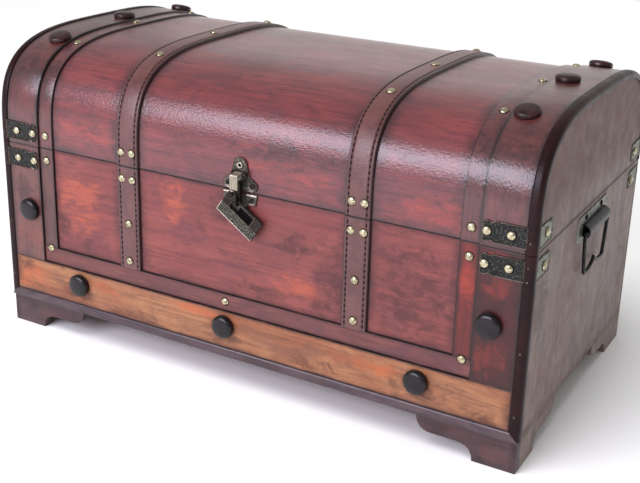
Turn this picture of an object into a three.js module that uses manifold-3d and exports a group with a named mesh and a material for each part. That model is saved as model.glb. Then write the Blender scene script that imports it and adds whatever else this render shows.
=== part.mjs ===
// A dome-topped sea chest: a boarded box on bracket feet with a hinged round lid,
// raised wooden bands, leather straps, turned knobs, corner plates, a hasp with its
// padlock and a drop handle on each end. Millimetres, +Z up, the front faces -Y.
// Pieces are drawn with x = 0 mid width, y = 0 on the front of the corner beads and z = 0 on the floor.

import * as THREE from "three";
import { mergeVertices } from "three/addons/utils/BufferGeometryUtils.js";
import Module from "manifold-3d";

const wasm = await Module();
wasm.setup();

// Driving sizes of the whole chest
const chestWidth = 600;
const chestDepth = 332;
const bodyHeight = 211;
const lidRise = 113;
const archPower = 3.6; // how square the lid's arch is: 2 is an ellipse
const archSteps = 28;
const seamGap = 0.6; // between the lid and the box all round
const fit = 0.3; // between pieces that were cut to each other
const overrun = 2; // how far a cutting shape passes the face it cuts

// Boards
const boardThick = 9;
const floorThick = 8;
const skinThick = 4.5;
const footHigh = 32;

// How far each layer of the front and of the lid lies behind the corner beads
const panelInset = 5;
const stripInset = 3;
const strapInset = 2;
const bandInset = 1;

// Corner beads and base moulding
const beadWide = 10;
const beadDeep = 7;
const beadRound = 5;
const beadRoundSteps = 4;
const beadProud = 1.5; // on the end faces
const mouldHigh = 10;

// Raised bands, strips and straps
const bandWide = 41;
const stripWide = 18;
const bottomBandHigh = 40;
const strapWide = 26;
const strapFromStrip = 87; // from a narrow strip's inner edge to the strap beside it
const strapRound = 0.8;

// Feet
const footLong = 99;
const footShelfLong = 24;
const footShelfHigh = 15.5;
const footToeLong = 42;
const footInset = 3;
const footBoardThick = 9;
const endFootLong = 106;
const endFootToeLong = 50;

// Knobs
const knobRadius = 12;
const knobHigh = 8.5;
const knobSides = 20;
const bottomKnobFromEnd = 101;
const bottomKnobMiddle = -13;
const bottomKnobHeight = 66;
const sideKnobFromEnd = 36;
const sideKnobHeight = 140;
const lidKnobFromEnd = 38;
const lidKnobFromFace = 58; // of the outer two in each row

// Corner plates
const plateThick = 1;
const plateLong = 41;
const plateHigh = 20;
const sidePlateLong = 33;
const sidePlateClear = 1.5; // behind the bead, which leans back as the lid's arch does
const plateLobe = 6;
const lobeShares = { neck: 2.2, notch: 1.8, shoulder: 1.3, dip: 0.5, tip: -0.1, high: 0.6 };
const lidPlateRise = 15; // from the seam to the plate's middle
const bodyPlateDrop = 15;

// Hasp
const haspCentre = 4;
const haspThick = 1.5;
const haspHalfWidth = 19.5;
const haspEar = 6;
const haspTopRadius = 8;
const haspUpperHigh = 33;
const haspLowerHigh = 21;
const haspSeamClear = 1.2;
const haspFootRadius = 9;
const hingePinRise = 18; // of the tongue's pin above the seam
const tongueBarrel = 2.4;
const tonguePin = 1;
const tongueBore = 1.3;
const tongueWide = 9;
const tongueThick = 1.5;
const tongueReach = 11.5; // from the plate's face to the tongue's face
const tongueBend = 2.5;
const tongueEndRise = 4.5; // above the seam
const tongueTopShare = 0.6; // of its barrel, where the strip leaves it
const earShare = 0.8; // of the barrel, half of the block behind each ear
const earLong = 3;
const eyeThick = 3;
const eyeWire = 2.2;
const eyeReach = 9.5;
const eyeHigh = 25;
const eyeDrop = 13.5; // of the eye's lowest point below the seam
const eyeRound = 3;
const eyeBackClear = 0.8; // between the eye and the upper plate
const arcSteps = 6;

// Padlock
const padLong = 47;
const padHigh = 24;
const padThick = 3.3;
const padArm = 10;
const padSlotHigh = 9.5;
const padBarHigh = 3;
const padTilt = THREE.MathUtils.degToRad(34);
const padPlay = 1.4;
const padSlide = 2; // along its bolt, from the slot's end

// Drop handles
const handlePlateLong = 92;
const handlePlateHigh = 26;
const handlePlateThick = 1.5;
const handleDrop = 4; // from the seam to the plate's top
const handleRound = 4;
const rollRadius = 8;
const rollLong = 66;
const rollCentreDrop = 16; // from the plate's top to the roll's middle
const rollSteps = 10;
const wireRadius = 1.8;
const wireSides = 8;
const wireSteps = 60;
const wireBore = 2.3;
const bailAxisOut = 4.5; // from the plate's face to the bail's axis
const bailHalf = 37;
const bailTail = 15;
const bailDrop = 43;
const bailTaper = 6; // each leg leans in by this much
const bailCusp = 8;
const bailBend = 6;

// Butt hinges at the back
const hingeLong = 70;
const hingeLeafHigh = 24;
const hingeLeafThick = 1.5;
const hingeFlange = 2;
const hingeBarrel = 2.8;
const hingePin = 1.3;
const hingeBore = 1.6;
const hingeAxisOut = 2; // behind the back of the beads
const hingeClear = 1;
const knuckleCount = 5;
const barrelSides = 12;

// Places worked out from the sizes above
const halfWidth = chestWidth / 2;
const beadInner = halfWidth - beadWide;
const bandInner = beadInner - bandWide;
const stripInner = bandInner - stripWide;
const endFace = halfWidth - beadProud;
const strapCentre = stripInner - strapFromStrip - strapWide / 2;
const hingeCentre = stripInner - strapFromStrip / 2;
const lidFoot = bodyHeight + seamGap;
const mouldTop = footHigh + mouldHigh;
const bottomBandTop = mouldTop + bottomBandHigh;
const crossStripTop = bottomBandTop + stripWide;
const plateFace = panelInset - haspThick; // the front of the hasp's plates
const tongueFace = plateFace - tongueReach;
const midDepth = chestDepth / 2;
const hingeAxisY = chestDepth + hingeAxisOut;
const sides = [
  ["left", -1],
  ["right", 1],
];

// Finishes
const finish = (color, roughness, metalness = 0) =>
  new THREE.MeshStandardMaterial({ color, roughness, metalness });
const mahogany = finish(0x6e2a26, 0.4);
const darkEdge = finish(0x2c1618, 0.45);
const tanBand = finish(0x9a5a30, 0.45);
const endWood = finish(0x6b5650, 0.5);
const insideWood = finish(0x5a2a22, 0.6);
const footWood = finish(0x4a1f1c, 0.45);
const leather = finish(0x4a241f, 0.65);
const knobWood = finish(0x2b2526, 0.5);
const bronze = finish(0x4c473a, 0.45, 0.8);
const agedBronze = finish(0x6b6350, 0.4, 0.85);
const blackIron = finish(0x2a2826, 0.5, 0.8);
const hingeSteel = finish(0x77706a, 0.45, 0.9);

// A closed geometry as a solid that can be joined and cut
function solidOf(geometry) {
  const bare = geometry.clone();
  bare.deleteAttribute("normal");
  bare.deleteAttribute("uv");
  const merged = mergeVertices(bare, 1e-4);
  return new wasm.Manifold(
    new wasm.Mesh({
      numProp: 3,
      vertProperties: merged.attributes.position.array,
      triVerts: new Uint32Array(merged.index.array),
    }),
  );
}

function geometryOf(solid) {
  const mesh = solid.getMesh();
  const geometry = new THREE.BufferGeometry();
  geometry.setAttribute("position", new THREE.BufferAttribute(mesh.vertProperties, 3));
  geometry.setIndex(new THREE.BufferAttribute(mesh.triVerts, 1));
  return geometry.toNonIndexed();
}

function join(...geometries) {
  return geometryOf(geometries.map(solidOf).reduce((a, b) => a.add(b)));
}

function cut(geometry, ...tools) {
  return geometryOf(tools.map(solidOf).reduce((a, b) => a.subtract(b), solidOf(geometry)));
}

function block(x0, x1, y0, y1, z0, z1) {
  const geometry = new THREE.BoxGeometry(x1 - x0, y1 - y0, z1 - z0);
  return geometry.translate((x0 + x1) / 2, (y0 + y1) / 2, (z0 + z1) / 2);
}

function extrude(shape, depth) {
  return new THREE.ExtrudeGeometry(shape, { depth, bevelEnabled: false, curveSegments: arcSteps });
}

// An outline in y and z, run along x
function alongX(outline, x0, x1) {
  const turn = new THREE.Matrix4().makeBasis(
    new THREE.Vector3(0, 1, 0),
    new THREE.Vector3(0, 0, 1),
    new THREE.Vector3(1, 0, 0),
  );
  return extrude(outline, x1 - x0).applyMatrix4(turn).translate(x0, 0, 0);
}

// An outline in x and z, run along y
function alongY(outline, y0, y1) {
  return extrude(outline, y1 - y0).rotateX(Math.PI / 2).translate(0, y1, 0);
}

function outlineOf(points) {
  return new THREE.Shape(points.map(([a, b]) => new THREE.Vector2(a, b)));
}

function rod(radius, length, segments) {
  return new THREE.CylinderGeometry(radius, radius, length, segments);
}

// A rod along x between two places
function rodX(radius, x0, x1, y, z, segments = barrelSides) {
  return rod(radius, x1 - x0, segments).rotateZ(Math.PI / 2).translate((x0 + x1) / 2, y, z);
}

// The lid's arch, inset from the beads: a superellipse from front to back
function archPoint(inset, step) {
  const angle = (Math.PI * step) / archSteps;
  const reach = Math.abs(Math.cos(angle)) ** (2 / archPower);
  const rise = Math.abs(Math.sin(angle)) ** (2 / archPower);
  const side = step * 2 > archSteps ? 1 : -1;
  return [
    midDepth + side * (step * 2 === archSteps ? 0 : reach) * (midDepth - inset),
    lidFoot + (step === 0 || step === archSteps ? 0 : rise) * (lidRise - inset),
  ];
}

function archLine(inset) {
  return Array.from({ length: archSteps + 1 }, (_, step) => archPoint(inset, step));
}

// The arch's height and slope at one depth, for what stands on it
function archAt(inset, y) {
  const run = midDepth - inset;
  const rise = lidRise - inset;
  const share = Math.abs(y - midDepth) / run;
  const height = (1 - share ** archPower) ** (1 / archPower);
  const slope = (rise / run) * (share / height) ** (archPower - 1) * Math.sign(midDepth - y);
  return { z: lidFoot + rise * height, slope };
}

// A cross-section of x and inset, swept over the lid's arch
function overArch(section) {
  const positions = [];
  const indices = [];
  const count = section.length;
  for (let step = 0; step <= archSteps; step++) {
    for (const [x, inset] of section) {
      positions.push(x, ...archPoint(inset, step));
    }
  }
  for (let step = 0; step < archSteps; step++) {
    for (let i = 0; i < count; i++) {
      const a = step * count + i;
      const b = step * count + ((i + 1) % count);
      indices.push(a, b, a + count, b, b + count, a + count);
    }
  }
  const flat = section.map(([x, inset]) => new THREE.Vector2(x, inset));
  const last = archSteps * count;
  for (const [a, b, c] of THREE.ShapeUtils.triangulateShape(flat, [])) {
    indices.push(a, c, b, last + a, last + b, last + c);
  }
  const geometry = new THREE.BufferGeometry();
  geometry.setAttribute("position", new THREE.Float32BufferAttribute(positions, 3));
  geometry.setIndex(indices);
  return geometry.toNonIndexed();
}

// The same cross-section, standing on the front of the box
function upFront(section, z0, z1) {
  return extrude(outlineOf(section), z1 - z0).translate(0, 0, z0);
}

// A section between two places across the width, anticlockwise in x and inset
function flatSection(x0, x1, top, under = panelInset) {
  return [
    [x0, top],
    [x1, top],
    [x1, under],
    [x0, under],
  ];
}

function strapSection(centre) {
  const x0 = centre - strapWide / 2;
  const x1 = centre + strapWide / 2;
  return [
    [x0, strapInset + strapRound],
    [x0 + strapRound, strapInset],
    [x1 - strapRound, strapInset],
    [x1, strapInset + strapRound],
    [x1, panelInset],
    [x0, panelInset],
  ];
}

function mirrored(section, side) {
  return side > 0 ? section : section.map(([x, inset]) => [-x, inset]).reverse();
}

function beadSection() {
  const round = Array.from({ length: beadRoundSteps + 1 }, (_, i) => {
    const angle = (Math.PI / 2) * (i / beadRoundSteps);
    return [
      halfWidth - beadRound + beadRound * Math.sin(angle),
      beadRound - beadRound * Math.cos(angle),
    ];
  });
  return [[beadInner, 0], ...round, [halfWidth, beadDeep], [beadInner, beadDeep]];
}

const chest = new THREE.Group();

function add(name, geometry, material) {
  const mesh = new THREE.Mesh(geometry, material);
  mesh.name = name;
  chest.add(mesh);
  return mesh;
}

// Box boards
function endBoardOutline() {
  const far = chestDepth;
  const toe = footInset + footBoardThick + fit;
  const rise = endFootLong - endFootToeLong - footShelfLong;
  const shape = new THREE.Shape();
  shape.moveTo(beadDeep, bodyHeight);
  shape.lineTo(beadDeep, footHigh);
  shape.lineTo(toe, footHigh);
  shape.lineTo(toe, 0);
  shape.lineTo(endFootToeLong, 0);
  shape.quadraticCurveTo(endFootToeLong, footShelfHigh, endFootToeLong + rise / 2, footShelfHigh);
  shape.lineTo(endFootLong - rise / 2, footShelfHigh);
  shape.quadraticCurveTo(endFootLong, footShelfHigh, endFootLong, footHigh);
  shape.lineTo(far - endFootLong, footHigh);
  shape.quadraticCurveTo(far - endFootLong, footShelfHigh, far - endFootLong + rise / 2, footShelfHigh);
  shape.lineTo(far - endFootToeLong - rise / 2, footShelfHigh);
  shape.quadraticCurveTo(far - endFootToeLong, footShelfHigh, far - endFootToeLong, 0);
  shape.lineTo(far, 0);
  shape.lineTo(far, bodyHeight);
  return shape;
}

function boxBoards() {
  const frontBack = panelInset + boardThick;
  const rearFace = chestDepth - panelInset;
  add(
    "front_board",
    block(-beadInner, beadInner, panelInset, frontBack, footHigh, bodyHeight),
    mahogany,
  );
  add(
    "back_board",
    block(-beadInner, beadInner, rearFace - boardThick, rearFace, footHigh, bodyHeight),
    insideWood,
  );
  add(
    "floor_board",
    block(-beadInner, beadInner, frontBack, rearFace - boardThick, footHigh, footHigh + floorThick),
    insideWood,
  );
  for (const [name, side] of sides) {
    const x0 = side > 0 ? beadInner : -endFace;
    add(`${name}_end_board`, alongX(endBoardOutline(), x0, x0 + endFace - beadInner), endWood);
  }
}

// Corner beads, mitred to the base moulding
function mitreWedge(side) {
  const points = [
    [side * (beadInner - overrun), mouldTop + overrun + fit],
    [side * (halfWidth + overrun), mouldTop - beadWide - overrun + fit],
    [side * (halfWidth + overrun), footHigh - beadWide],
    [side * (beadInner - overrun), footHigh - beadWide],
  ];
  return alongY(outlineOf(points), -overrun, beadDeep + overrun);
}

function beads() {
  for (const [name, side] of sides) {
    const section = mirrored(beadSection(), side);
    const upright = upFront(section, footHigh, bodyHeight);
    add(`${name}_corner_bead`, cut(upright, mitreWedge(side)), darkEdge);
    add(`${name}_lid_arch_bead`, overArch(section), darkEdge);
  }
  const outline = outlineOf([
    [-halfWidth, footHigh],
    [halfWidth, footHigh],
    [beadInner, mouldTop],
    [-beadInner, mouldTop],
  ]);
  add("base_moulding", alongY(outline, 0, panelInset), darkEdge);
}

// Raised bands and strips on the front, and over the lid
function bands() {
  const between = bandInner - fit;
  add(
    "bottom_band",
    block(-beadInner, beadInner, bandInset, panelInset, mouldTop, bottomBandTop),
    tanBand,
  );
  add(
    "cross_strip",
    block(-between, between, stripInset, panelInset, bottomBandTop, crossStripTop),
    mahogany,
  );
  for (const [name, side] of sides) {
    const band = mirrored(flatSection(bandInner, beadInner, bandInset), side);
    const strip = mirrored(flatSection(stripInner, bandInner, stripInset), side);
    add(`${name}_end_band`, upFront(band, bottomBandTop, bodyHeight), mahogany);
    add(`${name}_narrow_strip`, upFront(strip, crossStripTop, bodyHeight), mahogany);
    add(`${name}_lid_end_band`, overArch(band), mahogany);
    add(`${name}_lid_narrow_strip`, overArch(strip), mahogany);
  }
}

function straps() {
  for (const [name, side] of sides) {
    const section = strapSection(side * strapCentre);
    add(`${name}_strap`, upFront(section, crossStripTop, bodyHeight), leather);
    add(`${name}_lid_strap`, overArch(section), leather);
  }
}

// The lid's skin and its two ends
function lidShell() {
  add(
    "lid_skin",
    overArch(flatSection(-beadInner, beadInner, panelInset, panelInset + skinThick)),
    mahogany,
  );
  for (const [name, side] of sides) {
    const x0 = side > 0 ? beadInner : -endFace;
    const shape = outlineOf(archLine(beadDeep));
    add(`${name}_lid_end`, alongX(shape, x0, x0 + endFace - beadInner), endWood);
  }
}

// Front bracket feet
function footOutline(side) {
  const inner = endFace - footLong;
  const toe = endFace - footToeLong;
  const rise = (footLong - footToeLong - footShelfLong) / 2;
  const shape = new THREE.Shape();
  shape.moveTo(side * endFace, 0);
  shape.lineTo(side * endFace, footHigh);
  shape.lineTo(side * inner, footHigh);
  shape.quadraticCurveTo(side * inner, footShelfHigh, side * (inner + rise), footShelfHigh);
  shape.lineTo(side * (toe - rise), footShelfHigh);
  shape.quadraticCurveTo(side * toe, footShelfHigh, side * toe, 0);
  return shape;
}

function feet() {
  for (const [name, side] of sides) {
    const foot = alongY(footOutline(side), footInset, footInset + footBoardThick);
    add(`${name}_front_foot`, foot, footWood);
  }
}

// Turned knobs: a shallow dome on a short rim
const knobShares = [
  [0, 0],
  [0.94, 0],
  [1, 0.16],
  [0.97, 0.42],
  [0.78, 0.76],
  [0.42, 0.95],
  [0, 1],
];

function knobGeometry() {
  const profile = knobShares.map(([r, h]) => new THREE.Vector2(r * knobRadius, h * knobHigh));
  return new THREE.LatheGeometry(profile, knobSides).rotateX(Math.PI / 2);
}

function frontKnob(name, x, z) {
  add(name, knobGeometry().rotateX(Math.PI / 2).translate(x, bandInset, z), knobWood);
}

function knobs() {
  const bottomKnobReach = halfWidth - bottomKnobFromEnd;
  frontKnob("left_bottom_knob", -bottomKnobReach, bottomKnobHeight);
  frontKnob("middle_bottom_knob", bottomKnobMiddle, bottomKnobHeight);
  frontKnob("right_bottom_knob", bottomKnobReach, bottomKnobHeight);
  for (const [name, side] of sides) {
    frontKnob(`${name}_side_knob`, side * (halfWidth - sideKnobFromEnd), sideKnobHeight);
    for (const [row, step] of [["front", -1], ["top", 0], ["rear", 1]]) {
      const y = midDepth + step * (midDepth - lidKnobFromFace);
      const { z, slope } = archAt(bandInset, y);
      const knob = knobGeometry().rotateX(Math.atan(slope));
      knob.translate(side * (halfWidth - lidKnobFromEnd), y, z);
      add(`${name}_lid_${row}_knob`, knob, knobWood);
    }
  }
}

// Corner plates: a strip with a three-lobed inner end
function plateOutline(from, long, middle, side) {
  const half = plateHigh / 2;
  const { neck, notch, shoulder, dip, tip, high } = lobeShares;
  const back = (share) => from + side * (long - plateLobe * share);
  const shape = new THREE.Shape();
  shape.moveTo(from, middle - half);
  shape.lineTo(from, middle + half);
  shape.lineTo(back(neck), middle + half);
  shape.quadraticCurveTo(back(notch), middle + half - plateLobe / 2, back(shoulder), middle + half);
  shape.quadraticCurveTo(back(0), middle + half, back(dip), middle + plateLobe * high);
  shape.quadraticCurveTo(back(tip), middle, back(dip), middle - plateLobe * high);
  shape.quadraticCurveTo(back(0), middle - half, back(shoulder), middle - half);
  shape.quadraticCurveTo(back(notch), middle - half + plateLobe / 2, back(neck), middle - half);
  return shape;
}

function cornerPlates() {
  const rows = [
    ["", bodyHeight - bodyPlateDrop],
    ["lid_", bodyHeight + lidPlateRise],
  ];
  for (const [name, side] of sides) {
    for (const [row, middle] of rows) {
      const front = plateOutline(side * (beadInner - fit), plateLong, middle, -side);
      add(`${name}_${row}front_plate`, alongY(front, bandInset - plateThick, bandInset), bronze);
      const x0 = side > 0 ? endFace : -endFace - plateThick;
      const flank = plateOutline(beadDeep + sidePlateClear, sidePlateLong, middle, 1);
      add(`${name}_${row}side_plate`, alongX(flank, x0, x0 + plateThick), bronze);
    }
  }
}

// Hasp on the lid: a bell-shaped plate with two ears that hold the tongue's pin
const tongueAxisY = plateFace - tongueBarrel - fit;
const tongueAxisZ = bodyHeight + hingePinRise;

function upperPlateOutline() {
  const low = bodyHeight + haspSeamClear;
  const earZ = low + haspEar;
  const topZ = low + haspUpperHigh - haspTopRadius;
  const earX = haspHalfWidth - haspEar;
  const shape = new THREE.Shape();
  shape.moveTo(haspCentre - earX, low);
  shape.lineTo(haspCentre + earX, low);
  shape.absarc(haspCentre + earX, earZ, haspEar, -Math.PI / 2, Math.PI / 5, false);
  shape.lineTo(haspCentre + haspTopRadius, topZ);
  shape.absarc(haspCentre, topZ, haspTopRadius, 0, Math.PI, false);
  shape.absarc(haspCentre - earX, earZ, haspEar, (Math.PI * 4) / 5, (Math.PI * 3) / 2, false);
  return shape;
}

function haspUpper() {
  const plate = alongY(upperPlateOutline(), plateFace, panelInset);
  const inner = tongueWide / 2 + fit;
  const pieces = [plate];
  for (const side of [-1, 1]) {
    const x0 = haspCentre + (side > 0 ? inner : -inner - earLong);
    pieces.push(
      rodX(tongueBarrel, x0, x0 + earLong, tongueAxisY, tongueAxisZ),
      block(
        x0,
        x0 + earLong,
        tongueAxisY,
        plateFace + haspThick / 2,
        tongueAxisZ - tongueBarrel * earShare,
        tongueAxisZ + tongueBarrel * earShare,
      ),
    );
  }
  const pinEnd = inner + earLong / 2;
  pieces.push(
    rodX(tonguePin, haspCentre - pinEnd, haspCentre + pinEnd, tongueAxisY, tongueAxisZ),
  );
  add("hasp_upper_plate", join(...pieces), agedBronze);
}

// The tongue: a bent strip that hangs over the staple
function haspTongue() {
  const back = tongueFace + tongueThick;
  const low = bodyHeight + tongueEndRise;
  const top = tongueAxisZ + tongueBarrel * tongueTopShare;
  const x0 = haspCentre - tongueWide / 2;
  const x1 = haspCentre + tongueWide / 2;
  const shape = new THREE.Shape();
  shape.moveTo(tongueFace, low);
  shape.lineTo(back, low);
  shape.lineTo(back, top - tongueThick - tongueBend);
  shape.quadraticCurveTo(back, top - tongueThick, back + tongueBend, top - tongueThick);
  shape.lineTo(tongueAxisY, top - tongueThick);
  shape.lineTo(tongueAxisY, top);
  shape.lineTo(back, top);
  shape.quadraticCurveTo(tongueFace, top, tongueFace, top - tongueThick - tongueBend / 2);
  const body = join(
    alongX(shape, x0, x1),
    rodX(tongueBarrel, x0, x1, tongueAxisY, tongueAxisZ),
  );
  const bore = rodX(tongueBore, x0 - overrun, x1 + overrun, tongueAxisY, tongueAxisZ);
  add("hasp_tongue", cut(body, bore), agedBronze);
}

// The staple: an upright eye on a shield-shaped plate
const eyeLow = bodyHeight - eyeDrop;
const eyeFront = plateFace - eyeReach;
const eyeBack = plateFace - eyeBackClear;

function roundedOutline(y0, y1, z0, z1, round) {
  const shape = new THREE.Shape();
  shape.moveTo(y0 + round, z0);
  shape.lineTo(y1, z0);
  shape.lineTo(y1, z1 - round);
  shape.quadraticCurveTo(y1, z1, y1 - round, z1);
  shape.lineTo(y0 + round, z1);
  shape.quadraticCurveTo(y0, z1, y0, z1 - round);
  shape.lineTo(y0, z0 + round);
  shape.quadraticCurveTo(y0, z0, y0 + round, z0);
  return shape;
}

function lowerPlateOutline() {
  const top = bodyHeight - haspSeamClear;
  const low = top - haspLowerHigh;
  const footZ = low + haspFootRadius;
  const shape = new THREE.Shape();
  shape.moveTo(haspCentre - haspHalfWidth, top);
  shape.lineTo(haspCentre - haspHalfWidth + haspThick, top - haspLowerHigh / 2);
  shape.quadraticCurveTo(
    haspCentre - haspFootRadius,
    top - haspLowerHigh / 2,
    haspCentre - haspFootRadius,
    footZ,
  );
  shape.absarc(haspCentre, footZ, haspFootRadius, Math.PI, Math.PI * 2, false);
  shape.quadraticCurveTo(
    haspCentre + haspFootRadius,
    top - haspLowerHigh / 2,
    haspCentre + haspHalfWidth - haspThick,
    top - haspLowerHigh / 2,
  );
  shape.lineTo(haspCentre + haspHalfWidth, top);
  return shape;
}

function haspLower() {
  const plate = alongY(lowerPlateOutline(), plateFace, panelInset);
  const eyeTop = eyeLow + eyeHigh;
  const x0 = haspCentre - eyeThick / 2;
  const x1 = haspCentre + eyeThick / 2;
  const outer = alongX(roundedOutline(eyeFront, eyeBack, eyeLow, eyeTop, eyeRound), x0, x1);
  const hole = alongX(
    roundedOutline(
      eyeFront + eyeWire,
      eyeBack - eyeWire,
      eyeLow + eyeWire,
      eyeTop - eyeWire,
      eyeRound - eyeWire / 2,
    ),
    x0 - overrun,
    x1 + overrun,
  );
  const root = block(
    x0,
    x1,
    eyeBack - eyeWire / 2,
    plateFace + haspThick / 2,
    eyeLow,
    bodyHeight - haspSeamClear,
  );
  add("hasp_staple_plate", join(cut(outer, hole), plate, root), agedBronze);
}

// Padlock: a flat bar with an arm up each end and a thin bolt across, hung in the eye
const padAxisZ = eyeLow + eyeWire / 2;
const padMidY = (eyeFront + eyeWire + eyeBack - eyeWire) / 2;

function padlock() {
  const hangU = padArm + eyeThick / 2 + padPlay + padSlide;
  const hangV = padBarHigh + eyeWire / 2 + padPlay;
  const shape = new THREE.Shape();
  shape.moveTo(0, -padHigh);
  shape.lineTo(padLong, -padHigh);
  shape.lineTo(padLong, 0);
  shape.lineTo(0, 0);
  const slot = new THREE.Path();
  slot.moveTo(padArm, -padBarHigh);
  slot.lineTo(padLong - padArm, -padBarHigh);
  slot.lineTo(padLong - padArm, -padBarHigh - padSlotHigh);
  slot.lineTo(padArm, -padBarHigh - padSlotHigh);
  shape.holes.push(slot);
  const body = alongY(shape, -padThick / 2, padThick / 2).translate(-hangU, 0, hangV);
  add("padlock", body.rotateY(padTilt).translate(haspCentre, padMidY, padAxisZ), agedBronze);
}

// Drop handles
const handleTop = bodyHeight - handleDrop;
const rollZ = handleTop - rollCentreDrop;
const bailX = endFace + handlePlateThick + bailAxisOut;

function handlePlate(side) {
  const half = handlePlateLong / 2;
  const low = handleTop - handlePlateHigh;
  const face = endFace + handlePlateThick;
  const shape = roundedOutline(midDepth - half, midDepth + half, low, handleTop, handleRound);
  const plate = alongX(shape, endFace, face);
  const roll = rod(rollRadius, rollLong, rollSteps * 2).translate(face, midDepth, rollZ);
  const inside = block(
    face - rollRadius - overrun,
    endFace + handlePlateThick / 2,
    midDepth - rollLong,
    midDepth + rollLong,
    rollZ - rollRadius - overrun,
    rollZ + rollRadius + overrun,
  );
  const bore = rod(wireBore, rollLong + overrun * 2, barrelSides).translate(bailX, midDepth, rollZ);
  const whole = cut(join(plate, cut(roll, inside)), bore);
  return side > 0 ? whole : whole.rotateZ(Math.PI).translate(0, chestDepth, 0);
}

function bailPath() {
  const low = rollZ - bailDrop;
  const foot = bailHalf - bailTaper;
  const at = (y, z) => new THREE.Vector3(bailX, midDepth + y, z);
  const path = new THREE.CurvePath();
  const corner = (a, b, c) => path.add(new THREE.QuadraticBezierCurve3(a, b, c));
  const line = (a, b) => path.add(new THREE.LineCurve3(a, b));
  line(at(-bailHalf + bailTail, rollZ), at(-bailHalf + bailBend, rollZ));
  corner(at(-bailHalf + bailBend, rollZ), at(-bailHalf, rollZ), at(-bailHalf, rollZ - bailBend));
  line(at(-bailHalf, rollZ - bailBend), at(-foot, low + bailBend));
  corner(at(-foot, low + bailBend), at(-foot, low), at(-foot + bailBend, low));
  corner(at(-foot + bailBend, low), at(-bailBend, low), at(0, low + bailCusp));
  corner(at(0, low + bailCusp), at(bailBend, low), at(foot - bailBend, low));
  corner(at(foot - bailBend, low), at(foot, low), at(foot, low + bailBend));
  line(at(foot, low + bailBend), at(bailHalf, rollZ - bailBend));
  corner(at(bailHalf, rollZ - bailBend), at(bailHalf, rollZ), at(bailHalf - bailBend, rollZ));
  line(at(bailHalf - bailBend, rollZ), at(bailHalf - bailTail, rollZ));
  return path;
}

function bail(side) {
  const ring = Array.from({ length: wireSides }, (_, i) => {
    const angle = (Math.PI * 2 * i) / wireSides;
    return [wireRadius * Math.cos(angle), wireRadius * Math.sin(angle)];
  });
  const wire = new THREE.ExtrudeGeometry(outlineOf(ring), {
    steps: wireSteps,
    extrudePath: bailPath(),
    bevelEnabled: false,
  });
  return side > 0 ? wire : wire.rotateZ(Math.PI).translate(0, chestDepth, 0);
}

function handles() {
  for (const [name, side] of sides) {
    add(`${name}_handle_plate`, handlePlate(side), blackIron);
    add(`${name}_bail`, bail(side), blackIron);
  }
}

// Butt hinges: cranked leaves whose knuckles take turns along the pin
function hingeLeaf(centre, up) {
  const face = chestDepth - panelInset;
  const x0 = centre - hingeLong / 2;
  const x1 = centre + hingeLong / 2;
  const reach = (from, to) =>
    up ? [bodyHeight + from, bodyHeight + to] : [bodyHeight - to, bodyHeight - from];
  const [z0, z1] = reach(hingeClear, hingeLeafHigh);
  const [f0, f1] = reach(hingeClear, hingeClear + hingeFlange);
  const pitch = hingeLong / knuckleCount;
  const leaf = [block(x0, x1, face, face + hingeLeafThick, z0, z1)];
  for (let i = 0; i < knuckleCount; i++) {
    const a = x0 + i * pitch + fit / 2;
    const b = x0 + (i + 1) * pitch - fit / 2;
    if ((i % 2 === 1) === up) {
      leaf.push(
        block(a, b, face, hingeAxisY, f0, f1),
        rodX(hingeBarrel, a, b, hingeAxisY, bodyHeight),
      );
    }
  }
  if (up) {
    return cut(join(...leaf), rodX(hingeBore, x0 - overrun, x1 + overrun, hingeAxisY, bodyHeight));
  }
  return join(...leaf, rodX(hingePin, x0 + fit, x1 - fit, hingeAxisY, bodyHeight));
}

function hinges() {
  for (const [name, side] of sides) {
    add(`${name}_hinge_box_leaf`, hingeLeaf(side * hingeCentre, false), hingeSteel);
    add(`${name}_hinge_lid_leaf`, hingeLeaf(side * hingeCentre, true), hingeSteel);
  }
}

boxBoards();
beads();
bands();
straps();
lidShell();
feet();
knobs();
cornerPlates();
haspUpper();
haspTongue();
haspLower();
padlock();
handles();
hinges();

// The origin is mid width, midway between the tongue's face and the hinges' backs, on the floor
chest.position.y = -(tongueFace + hingeAxisY + hingeBarrel) / 2;

export default chest;
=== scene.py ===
import math

import bmesh
import bpy
from mathutils import Matrix, Vector


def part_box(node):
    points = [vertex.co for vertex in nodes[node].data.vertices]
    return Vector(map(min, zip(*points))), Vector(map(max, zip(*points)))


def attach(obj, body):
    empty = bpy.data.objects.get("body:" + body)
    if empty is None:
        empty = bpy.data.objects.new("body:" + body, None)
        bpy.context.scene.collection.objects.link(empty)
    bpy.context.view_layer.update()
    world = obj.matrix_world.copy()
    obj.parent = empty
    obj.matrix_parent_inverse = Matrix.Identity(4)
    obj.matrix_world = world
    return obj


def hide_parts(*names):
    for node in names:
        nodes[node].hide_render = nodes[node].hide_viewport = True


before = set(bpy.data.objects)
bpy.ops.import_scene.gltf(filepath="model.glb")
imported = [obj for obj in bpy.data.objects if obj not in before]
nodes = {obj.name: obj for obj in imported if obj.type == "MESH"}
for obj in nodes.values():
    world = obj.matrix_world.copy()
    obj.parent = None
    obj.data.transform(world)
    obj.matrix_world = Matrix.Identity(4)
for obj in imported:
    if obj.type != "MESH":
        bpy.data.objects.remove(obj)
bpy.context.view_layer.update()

# Drawings are in mm, with y = 0 on the front of the corner beads, as the part is drawn
MM = 0.001
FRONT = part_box("left_corner_bead")[0][1]


def place(x, y, z):
    """A drawn point in the frame, in metres."""
    return Vector((x * MM, y * MM + FRONT, z * MM))


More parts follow.
